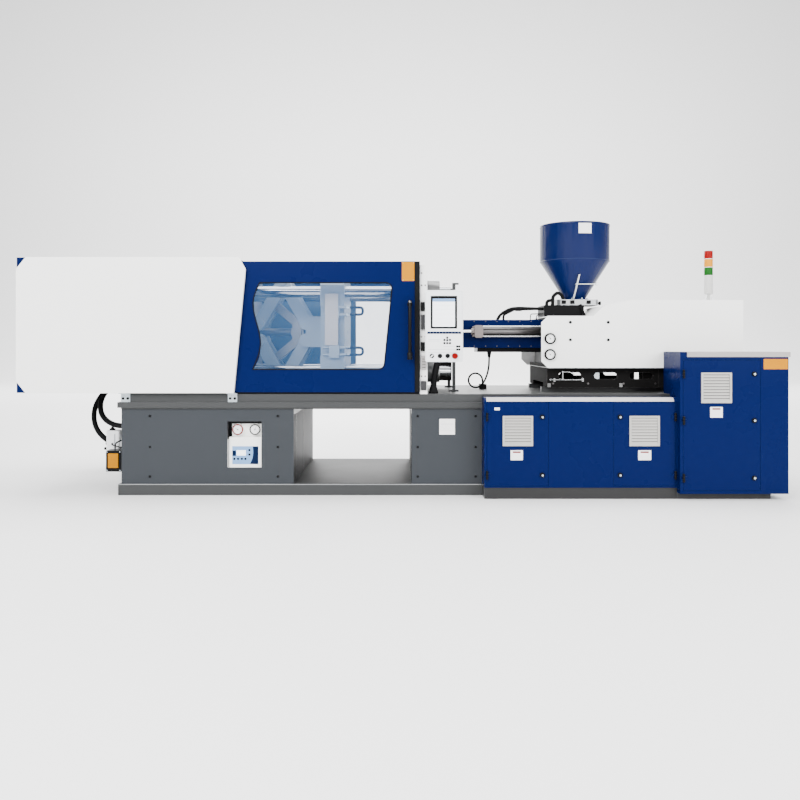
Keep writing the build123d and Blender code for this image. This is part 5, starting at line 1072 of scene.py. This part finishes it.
def add_latches_and_hinges():
    """Quarter-turn latches on each door, and black sleeves over its hinges."""
    for door, face, hinge_x, way, width, heights in DOORS:
        latch_x = hinge_x + way * (width - LATCH_FROM_EDGE)
        cups, cores = latches([(latch_x, face, z) for z in heights])
        pin = (hinge_x, face - 0.008, 0)
        add_piece(door + "_latches", cups, door, BLACK_PLASTIC)
        add_piece(door + "_latch_cores", cores, door, ZINC)
        add_piece(door + "_knuckles", knuckles(pin, heights, DOOR_KNUCKLES), door, BLACK_PLASTIC)
        add_piece(door + "_frame_knuckles", knuckles(pin, heights, FRAME_KNUCKLES), "bed", BLACK_PLASTIC)


LABELS = (
    ("pump_label_left", 0.712, 0.789, 0.247, 0.309, PUMP_FACE, "pump_door_left"),
    ("pump_label_right", 1.516, 1.597, 0.247, 0.309, PUMP_FACE, "pump_door_right"),
    ("cabinet_label", 1.952, 2.030, 0.519, 0.585, CABINET_FACE, "cabinet_door"),
)


def plain_label(name, x0, x1, z0, z1, face, body):
    """A plain white label with a plain red band near its top."""
    add_piece(name, [front_plate(x0, x1, z0, z1, face, 0.0006)], body, LABEL_WHITE, 0.0002)
    inset = 0.18 * (x1 - x0)
    band = front_plate(x0 + inset, x1 - inset, z1 - 0.017, z1 - 0.007, face - 0.0006, 0.0002, 0.001)
    add_piece(name + "_band", [band], body, RED)


def pump_top_strip():
    """The pale strip along the bevel at the top of the pump enclosure: a (y, z) section carried along X."""
    section = [(-0.7212, 0.6160), (-0.7212, 0.6190), (-0.7005, 0.6397), (-0.6600, 0.6397), (-0.6600, 0.6382),
               (-0.6995, 0.6382), (-0.7195, 0.6182), (-0.7195, 0.6160)]
    points, faces = plate(section, 0.560, 1.742)
    add_piece("pump_top_strip", [(points[:, [1, 0, 2]], faces)], "bed", STRIP_GREY, 0.0003)


def add_enclosure_details():
    """Latches and hinges, plain labels and plates, and the pale strip along the pump enclosure's bevel."""
    add_latches_and_hinges()
    for label in LABELS:
        plain_label(*label)
    small = front_plate(0.610, 0.644, 0.562, 0.578, PUMP_FACE, 0.0008, 0.003)
    add_piece("pump_small_plate", [small], "pump_door_left", LABEL_WHITE)
    yellow = front_plate(2.286, 2.437, 0.821, 0.885, CABINET_FACE, 0.0010)
    add_piece("cabinet_plate", [yellow], "bed", YELLOW, 0.0003)
    pump_top_strip()


# Control panel

BUTTON_Z = 0.904
SELECTOR_X = 0.214
SCREEN_BACK = PANEL_FACE + 0.003
SCREEN_FACE = SCREEN_BACK - 0.0012
SCREEN_SHOWN = SCREEN_FACE - 0.0006
ARROW_KEYS = ((0.310, 1.018), (0.2925, 1.004), (0.310, 1.002), (0.3275, 1.004), (0.2925, 0.984),
              (0.310, 0.984), (0.3275, 0.984), (0.372, 0.963), (0.386, 0.963), (0.372, 0.944), (0.386, 0.944))
PANEL_RULES = ((0.192, 0.268, 1.006), (0.192, 0.262, 0.996), (0.286, 0.360, 0.963), (0.192, 0.360, 0.944),
               (0.192, 0.390, 0.926))
COLLARS = ((0.265, 0.0094, 0.0150, 0.003), (0.313, 0.0094, 0.0150, 0.003),
           (SELECTOR_X, 0.0110, 0.0140, 0.003), (0.358, 0.0096, 0.0190, 0.0007))
FOIL_SECTION = ((-0.0004, 0), (0.0004, 0), (0.0004, 0.0002), (-0.0004, 0.0002))


def panel_screen():
    """The black bezel, the lit glass, and the plain lines and header on it."""
    bezel = front_plate(0.2068, 0.3722, 1.0748, 1.2792, SCREEN_BACK, 0.0012)
    glass = front_plate(0.220, 0.358, 1.087, 1.262, SCREEN_FACE, 0.0006)
    lines = [front_plate(0.226, 0.352, z, z + 0.0012, SCREEN_SHOWN, 0.0001, 0.0004)
             for z in (1.220, 1.195, 1.165, 1.135, 1.108)]
    header = front_plate(0.2202, 0.3578, 1.243, 1.2618, SCREEN_SHOWN, 0.0002)
    add_piece("screen_bezel", [bezel], "control_panel", BLACK_PLASTIC, 0.0004)
    add_piece("screen_glass", [glass], "control_panel", SCREEN)
    add_piece("screen_lines", lines, "control_panel", LINE_GREY)
    add_piece("screen_header", [header], "control_panel", HEAD_BLUE)


def panel_keys():
    """A row of function keys, a cluster of round keys, and thin plain rules between them."""
    row = [(x, PANEL_FACE, 1.049) for x in np.linspace(0.194, 0.388, 11)]
    key = front_plate(-0.0092, 0.0092, -0.0070, 0.0070, 0, 0.0022)
    cluster = [(x, PANEL_FACE, z) for x, z in ARROW_KEYS]
    round_keys = copies(front_button((0, 0, 0), 0.0072, 0.0024), cluster)
    rules = [front_plate(x0, x1, z, z + 0.0016, PANEL_FACE, 0.0002, 0.0006) for x0, x1, z in PANEL_RULES]
    add_piece("panel_function_keys", [copies(key, row)], "control_panel", KEY_BLUE, 0.0005)
    add_piece("panel_arrow_keys", [round_keys], "control_panel", BLACK_PLASTIC)
    add_piece("panel_rules", rules, "control_panel", LINE_GREY)


def panel_selector():
    """Collars round the buttons, and a two-wing selector: a round base with a bar turned by 45 degrees."""
    collars = [front_ring((x, PANEL_FACE, BUTTON_Z), inner, outer, height)
               for x, inner, outer, height in COLLARS]
    base = front_button((SELECTOR_X, PANEL_FACE, BUTTON_Z), 0.0115, 0.006, 0.0015, 32)
    bar = rounded_outline(-0.0105, 0.0105, -0.0035, 0.0035, 0.0030)
    turn = np.array([[1, 1], [-1, 1]]) / np.sqrt(2)
    wing = plate(bar @ turn + np.array([SELECTOR_X, BUTTON_Z]), PANEL_FACE - 0.014, PANEL_FACE - 0.005)
    add_piece("button_collars", collars, "control_panel", BLACK_PLASTIC)
    add_piece("selector_base", [base], "control_panel", BLACK_PLASTIC)
    add_piece("selector_wing", [wing], "control_panel", PANEL_WHITE, 0.0008)


def add_panel_details():
    """The panel's screen, its keys, collars and selector, and the edge of its foil."""
    panel_screen()
    panel_keys()
    panel_selector()
    edge = frame_strip(rounded_outline(0.180, 0.402, 0.873, 1.308, 0.010), FOIL_SECTION, PANEL_FACE)
    add_piece("panel_foil_edge", [edge], "control_panel", LINE_GREY)


# Hose ends

UPPER_FERRULE = ((0.0175, 0.890), (0.0215, 0.892), (0.0215, 0.938), (0.0190, 0.942), (0.0190, 0.950),
                 (0.0260, 0.951), (0.0260, 0.974), (0.0175, 0.9741))
SIDE_FERRULE = ((0.0175, -0.080), (0.0215, -0.078), (0.0215, -0.034), (0.0190, -0.030), (0.0190, -0.024),
                (0.0260, -0.023), (0.0260, 0.0), (0.0175, 0.0001))
GLANDS = (
    (((0.0205, 0.655), (0.032, 0.655), (0.032, 0.668), (0.028, 0.672), (0.0225, 0.700), (0.0205, 0.701)),
     (0.235, -0.494, 0), 28),
    (((0.0205, 1.070), (0.030, 1.070), (0.030, 1.056), (0.026, 1.050), (0.0220, 1.024), (0.0205, 1.023)),
     (0.285, -0.520, 0), 28),
    (((0.0065, 0.923), (0.015, 0.923), (0.015, 0.915), (0.0095, 0.885), (0.0065, 0.884)),
     (0.656, -0.010, 0), 20),
)


def add_hose_ends():
    """Ferrules and nuts at the clamp hoses' ends, and glands where the cables go in."""
    ferrules = [turned(UPPER_FERRULE, (-1.712, y, 0), "z", 24) for y in (0.045, -0.045)]
    ferrules += [turned(SIDE_FERRULE, (BED_LEFT, y, z), "x", 24)
                 for y, z in ((-0.150, 0.261), (-0.330, 0.420))]
    add_piece("hose_ferrules", ferrules, "bed", DARK_STEEL)
    glands = [turned(profile, place, "z", segments) for profile, place, segments in GLANDS]
    add_piece("cable_glands", glands, "bed", RUBBER)
    boot = box(0.5885, 0.6415, 0.0215, 0.0745, BED_TOP, 0.6915, 0.002)
    add_piece("cable_boot_cover", [boot], "bed", RUBBER, 0.011)


# Injection unit

ROD_Y, ROD_Z = -0.369, 0.738
SHOE_FACE = -0.360


def add_cover_details():
    """Gauges and screws on the injection cover."""
    add_gauge("cover_gauge_upper", (1.011, -0.460, 1.015), 0.0315, "carriage", -40, BLACK_PLASTIC, 0.86)
    add_gauge("cover_gauge_lower", (1.011, -0.460, 0.909), 0.0315, "carriage", -50, BLACK_PLASTIC, 0.86)
    places = [(x, COVER_FACE, z) for x in (1.148, 1.400) for z in (1.007, 1.124)]
    add_piece("cover_screws", both_sides(screws_at(places, 0.0100)), "carriage", BLACK_PLASTIC)


def lubrication_rod():
    """The bright rod along the carriage, with its nuts, riser, lever and feet."""
    shaft = turned([(0, 1.022), (0.005, 1.023), (0.005, 1.248), (0, 1.249)], (0, ROD_Y, ROD_Z), "x", 16)
    nuts = [rod(0.010, x, x + 0.014, (0, ROD_Y, ROD_Z), "x", 6) for x in (1.026, 1.085, 1.165)]
    riser = turned([(0, 0.738), (0.0045, 0.738), (0.0045, 0.785), (0.008, 0.786), (0.008, 0.797), (0, 0.798)],
                   (1.112, ROD_Y, 0), "z", 16)
    lever = bent_pipe([(1.112, -0.372, 0.790), (1.150, -0.374, 0.792), (1.190, -0.374, 0.776)], 0.01, 0.004)
    feet = [box(x, x + 0.012, ROD_Y, SHOE_FACE, 0.726, 0.748, 0.002) for x in (1.050, 1.242)]
    add_piece("carriage_rod", [shaft, *nuts, riser, lever, *feet], "carriage", POLISHED, 0.0008)


def add_carriage_details():
    """The bright rod, the wipers at the shoes, a bracket, the carriage's rear end and its bolts."""
    lubrication_rod()
    wipers = [box(x, x + 0.022, -0.368, SHOE_FACE, 0.688, 0.714, 0.003) for x in (1.010, 1.494)]
    add_piece("carriage_wipers", wipers, "carriage", MACHINED, 0.001)
    block = box(1.322, 1.362, -0.354, -0.334, 0.742, 0.786, 0.003)
    add_piece("carriage_bracket", [block], "carriage", ZINC, 0.001, "machined_steel")
    tail = box(1.758, 1.800, SHOE_FACE, -0.330, 0.687, 0.843, 0.004)
    add_piece("carriage_tail", both_sides([tail]), "carriage", CASTING, 0.002)
    bolts = [(x, SHOE_FACE, z) for x in (1.048, 1.284, 1.524, 1.740) for z in (0.712, 0.822)]
    add_piece("carriage_bolts", screws_at(bolts, 0.0075), "carriage", DARK_STEEL, slot="dark_casting")


# Hopper

PLATE_HALF_LENGTH, PLATE_HALF_DEPTH, PLATE_CUT = 0.1445, 0.1205, 0.020
FLANGE_RADIUS = 0.1005
SKIN_TOP, SKIN_BOTTOM, SKIN_THICK = 1.2945, 1.2537, 0.0005


def hopper_plate_skin():
    """A bright skin on the plate under the hopper. At each angle t the edge lies where a ray meets the
    outline: the least of hx / |cos t|, hy / |sin t| and (hx + hy - cut) / (|cos t| + |sin t|)."""
    hx, hy, cut = PLATE_HALF_LENGTH, PLATE_HALF_DEPTH, PLATE_CUT
    corners = np.arctan2([hy - cut, hy], [hx, hx - cut])
    quarter = np.concatenate([np.linspace(0, corners[0], 6), np.linspace(corners[0], corners[1], 4)[1:],
                              np.linspace(corners[1], pi / 2, 6)[1:-1]])
    t = np.concatenate([quarter, pi - quarter[::-1], pi + quarter, 2 * pi - quarter[::-1]])
    t = np.unique(np.round(np.concatenate([t, [pi / 2, 3 * pi / 2]]), 6) % round(2 * pi, 6))
    c, s = np.abs(np.cos(t)) + 1e-9, np.abs(np.sin(t)) + 1e-9
    edge = np.minimum(np.minimum(hx / c, hy / s), (hx + hy - cut) / (c + s))
    circle = np.full(len(t), FLANGE_RADIUS)
    under = SKIN_TOP - SKIN_THICK
    rings = [(circle, SKIN_TOP), (edge, SKIN_TOP), (edge, SKIN_BOTTOM), (edge - SKIN_THICK, SKIN_BOTTOM),
             (edge - SKIN_THICK, under), (circle, under)]
    points = [np.stack([HOPPER_X + r * np.cos(t), r * np.sin(t), np.full(len(t), z)], -1) for r, z in rings]
    shape = np.vstack(points), grid_faces(len(rings), len(t), True, True)
    add_piece("hopper_plate_skin", [shape], "carriage", BRIGHT)


def hopper_label():
    """The hopper's plain plate, bent round it: (x + r sin t, -r cos t, z) over a span of angles."""
    angle = np.linspace(-0.098, 0.272, 10)[:, None]
    z = np.array([1.745, 1.745, 1.815, 1.815])
    r = np.array([0.2445, 0.2462, 0.2462, 0.2445])
    x = HOPPER_X + r * np.sin(angle)
    points = np.stack([x, -r * np.cos(angle), np.broadcast_to(z, x.shape)], -1).reshape(-1, 3)
    last = len(points) - 1
    faces = grid_faces(len(angle), 4, wrap_columns=True)
    faces += [[0, 1, 2, 3], [last, last - 1, last - 2, last - 3]]
    add_piece("hopper_plate", [(points, faces)], "carriage", LABEL_WHITE)


def hopper_fittings():
    """The drain pipe and shutter rod in bright steel, and the black hose bends, lever and cleats."""
    drain = pipe([(1.264, -0.192, 1.467), (1.2525, -0.148, 1.382), (1.241, -0.103, 1.296)], 0.007)
    shutter = pipe([(1.244, -0.152, 1.401), (1.391, -0.152, 1.401)], 0.0045)
    knob = turned(button_profile(0.009, 0.016, 0.004), (1.388, -0.152, 1.401), "x", 16)
    add_piece("hopper_drain_and_rod", [drain, shutter, knob], "carriage", POLISHED)
    loop = bent_pipe([(1.092, -0.106, 1.250), (1.096, -0.108, 1.318), (1.128, -0.108, 1.344),
                      (1.160, -0.104, 1.326), (1.172, -0.098, 1.280)], 0.016, 0.0125)
    elbow = bent_pipe([(1.050, -0.110, 1.250), (1.052, -0.112, 1.284), (1.104, -0.112, 1.292)], 0.018, 0.0115)
    lever = bent_pipe([(1.286, -0.128, 1.258), (1.294, -0.142, 1.222), (1.310, -0.148, 1.182),
                       (1.320, -0.148, 1.154)], 0.012, 0.009)
    cleats = [box(x, x + 0.030, -0.128, -0.116, 1.262, 1.288, 0.003) for x in (1.155, 1.215, 1.330)]
    add_piece("hopper_black_fittings", [loop, elbow, lever, *cleats], "carriage", BLACK_PAINT, 0.001)


def add_hopper_details():
    """The hopper's plate, fittings, flange bolts, bright skin, seam and rim."""
    hopper_label()
    hopper_fittings()
    turn = np.linspace(0, 2 * pi, 8, endpoint=False) + pi / 8
    places = np.stack([HOPPER_X + 0.089 * np.cos(turn), 0.089 * np.sin(turn), np.full(8, 1.302)], -1)
    bolt = turned(button_profile(0.007, 0.006, 0.0015), (0, 0, 0), "z", 6)
    add_piece("hopper_flange_bolts", [copies(bolt, places)], "carriage", ZINC)
    hopper_plate_skin()
    seam = [(0.2455, 1.569), (0.2472, 1.571), (0.2455, 1.573), (0.2455, 1.569)]
    rim = [(0.2455, 1.816), (0.2485, 1.817), (0.2485, 1.824), (0.2455, 1.825), (0.2455, 1.816)]
    bands = [turned(profile, (HOPPER_X, 0, 0), "z", 64) for profile in (seam, rim)]
    add_piece("hopper_seam_and_rim", bands, "carriage", HOPPER_BLUE)


# Barrel guard and traverse cylinders

GUARD_FACE = -0.150
ROD_SPREAD = 0.034
HEAD_HALF = 0.0435
GLAND_PROFILE = ((0.0112, 0.508), (0.022, 0.508), (0.024, 0.512), (0.024, 0.530), (0.0112, 0.530))


def add_guard_details():
    """The barrel guard's rivets, tray edges, water pipe and wire handle."""
    places = [(x, GUARD_FACE, z) for x in np.linspace(0.455, 0.935, 7) for z in (0.965, 1.138)]
    rivets = copies(front_button((0, 0, 0), 0.0045, 0.0022, 0.001, 12), places)
    add_piece("guard_rivets", both_sides([rivets]), "carriage", DARK_STEEL)
    tray = front_plate(0.561, 1.029, 0.9235, 0.9525, -0.123, 0.0008)
    add_piece("guard_tray_edges", both_sides([tray]), "carriage", BLACK_PAINT)
    water = bent_pipe([(0.705, -0.075, 1.150), (0.728, -0.075, 1.192), (0.800, -0.075, 1.232),
                       (0.860, -0.075, 1.236), (1.030, -0.075, 1.230)], 0.030, 0.0105)
    add_piece("guard_water_pipe", [water], "carriage", RUBBER)
    outer = [(0.936, -0.105, 1.150), (0.938, -0.105, 1.192), (1.028, -0.105, 1.194)]
    inner = [(0.984, -0.075, 1.150), (0.986, -0.075, 1.186), (1.028, -0.075, 1.186)]
    wires = [bent_pipe(points, 0.012, 0.0035, 10) for points in (outer, inner)]
    add_piece("guard_wire_handle", wires, "carriage", BLACK_PAINT)


def add_cylinder_details():
    """The traverse cylinders' tie rods with their nuts, gland nuts and square head faces."""
    rods, nuts, heads = [], [], []
    for y in CYLINDER_YS:
        for dy, dz in ((-1, 1), (-1, -1), (1, 1), (1, -1)):
            corner = np.array([0, dy, dz]) * ROD_SPREAD
            middle = np.array([0, y, CLAMP_AXIS_Z])
            rods.append(rod(0.0055, 0.588, 1.030, middle + corner, "x", 12))
            nuts.append(rod(0.009, 0.519, 0.530, middle + 0.85 * corner, "x", 6))
        nuts.append(turned(GLAND_PROFILE, (0, y, CLAMP_AXIS_Z), "x", 24))
        heads.append(box(0.5295, 0.5885, y - HEAD_HALF, y + HEAD_HALF, CLAMP_AXIS_Z - HEAD_HALF,
                         CLAMP_AXIS_Z + HEAD_HALF, 0.012))
    add_piece("cylinder_tie_rods", rods, "carriage", POLISHED)
    add_piece("cylinder_nuts", nuts, "carriage", CYLINDER_HEAD, 0.0008)
    add_piece("cylinder_head_faces", heads, "carriage", CYLINDER_HEAD, 0.0015)


def add_tower_details():
    """The tower's cap, its rings between the lenses and its three-legged foot."""
    rings = [turned([(0.0272, z), (0.0304, z + 0.0005), (0.0304, z + 0.0035), (0.0272, z + 0.004)],
                    (TOWER_X, 0, 0)) for z in (1.470, 1.530, 1.590)]
    cap = turned([(0.0302, 1.6495), (0.0302, 1.6500), (0.029, 1.6503), (0, 1.6503)], (TOWER_X, 0, 0))
    add_piece("tower_rings", [*rings, cap], "carriage", WHITE_PLASTIC)
    turn = np.radians([90, 210, 330])
    legs = [pipe([(TOWER_X + 0.014 * c, 0.014 * s, 1.338), (TOWER_X + 0.046 * c, 0.046 * s, 1.274)], 0.005)
            for c, s in zip(np.cos(turn), np.sin(turn))]
    add_piece("tower_legs", legs, "carriage", WHITE_PLASTIC)


# Inside the clamp

PIPE_Y = -0.387
PIPE_STEP = 0.024


def cooling_pipes():
    """The bent pipes that join the moving platen's hose barbs in pairs, and their nuts."""
    bends, nuts = [], []
    for z in (0.931, 1.201):
        high, low = z + PIPE_STEP, z - PIPE_STEP
        bends.append(bent_pipe([(-0.330, PIPE_Y, high), (-0.235, PIPE_Y, high), (-0.235, PIPE_Y, low),
                                (-0.330, PIPE_Y, low)], 0.022, 0.0085))
        nuts += [turned([(0.0092, -0.345), (0.0135, -0.345), (0.0135, -0.322), (0.0092, -0.322)],
                        (0, PIPE_Y, height), "x", 6) for height in (low, high)]
    add_piece("cooling_pipe_bends", bends, "moving_platen", RUBBER)
    add_piece("cooling_pipe_nuts", nuts, "moving_platen", ZINC, 0.0006)


def nozzle_tray():
    """The black tray under the nozzle: two long sides, a floor and an end."""
    sides = [box(0.200, 0.370, y, y + 0.003, 0.728, 0.862, 0.003) for y in (-0.250, 0.247)]
    floor = box(0.200, 0.370, -0.248, 0.248, 0.728, 0.731)
    end = box(0.367, 0.370, -0.248, 0.248, 0.729, 0.862)
    add_piece("nozzle_tray", [*sides, floor, end], "bed", BLACK_PAINT, 0.001)


def add_platen_details():
    """The sheet behind the linkage, dark as painted shade, the tray under the nozzle, and the moving platen's
    cooling block and pipes."""
    # The sheet's dark grey-blue is painted shade for the inside of the clamp
    sheet = [box(-1.000, -0.330, 0.520, 0.523, BED_TOP, 1.420, 0.010),
             box(-1.000, -0.680, 0.523, 0.560, BED_TOP, 0.658)]
    add_piece("rear_inner_painted_shade_sheet", sheet, "bed", INNER_SHADE_BLUE, 0.001)
    nozzle_tray()
    block = box(-0.488, -0.400, -0.409, -0.371, 0.970, 1.316, 0.004)
    add_piece("platen_cooling_block", [block], "moving_platen", PALE_GREY, 0.002, "white_paint")
    cooling_pipes()


# Drop opening

def add_drop_opening():
    """Dark liners on the floor and the side walls of the drop opening, with black slots down each wall."""
    floor = box(-0.672, 0.088, -0.575, 0.575, 0.0731, 0.0745)
    walls = [box(x, x + 0.0012, -0.555, 0.555, 0.076, 0.520) for x in (-0.6738, 0.0886)]
    add_piece("drop_liners", [floor, *walls], "bed", LINER_GREY, 0.0003)
    slots = [box(x, x + 0.0006, y, y + 0.030, 0.080, 0.515)
             for x in (-0.6727, 0.0881) for y in (-0.46, -0.06, 0.43)]
    add_piece("drop_liner_slots", slots, "bed", BLACK_PLASTIC)


# Back of the machine

BACK_FACE = -0.565
ACCESS_SPANS = ((-1.70, -1.27), (-1.20, -0.77), (0.14, 0.50))


def add_back_details():
    """Access plates and screws on the bed's back, and the hatch on top of the oil tank."""
    plates = [front_plate(x0, x1, 0.12, 0.51, BACK_FACE, 0.003, 0.006) for x0, x1 in ACCESS_SPANS]
    add_piece("rear_access_plates", mirrored(plates), "bed", PANEL_GREY, 0.001)
    hatch = box(1.12, 1.50, 0.615, 0.750, 0.5598, 0.5625, 0.0006)
    add_piece("tank_hatch", [hatch], "bed", PANEL_GREY)
    screws = [(x, BACK_FACE - 0.003, z) for x0, x1 in ACCESS_SPANS for x in (x0 + 0.02, x1 - 0.02)
              for z in (0.14, 0.49)]
    add_piece("rear_screws", mirrored(screws_at(screws, 0.0055)), "bed", BLACK_PLASTIC)


for add_details in (add_gates, add_posts, add_bed_details, service_face, add_bed_end, add_enclosure_details,
                    add_panel_details, add_hose_ends, add_cover_details, add_carriage_details,
                    add_hopper_details, add_guard_details, add_cylinder_details, add_tower_details,
                    add_platen_details, add_drop_opening, add_back_details):
    add_details()
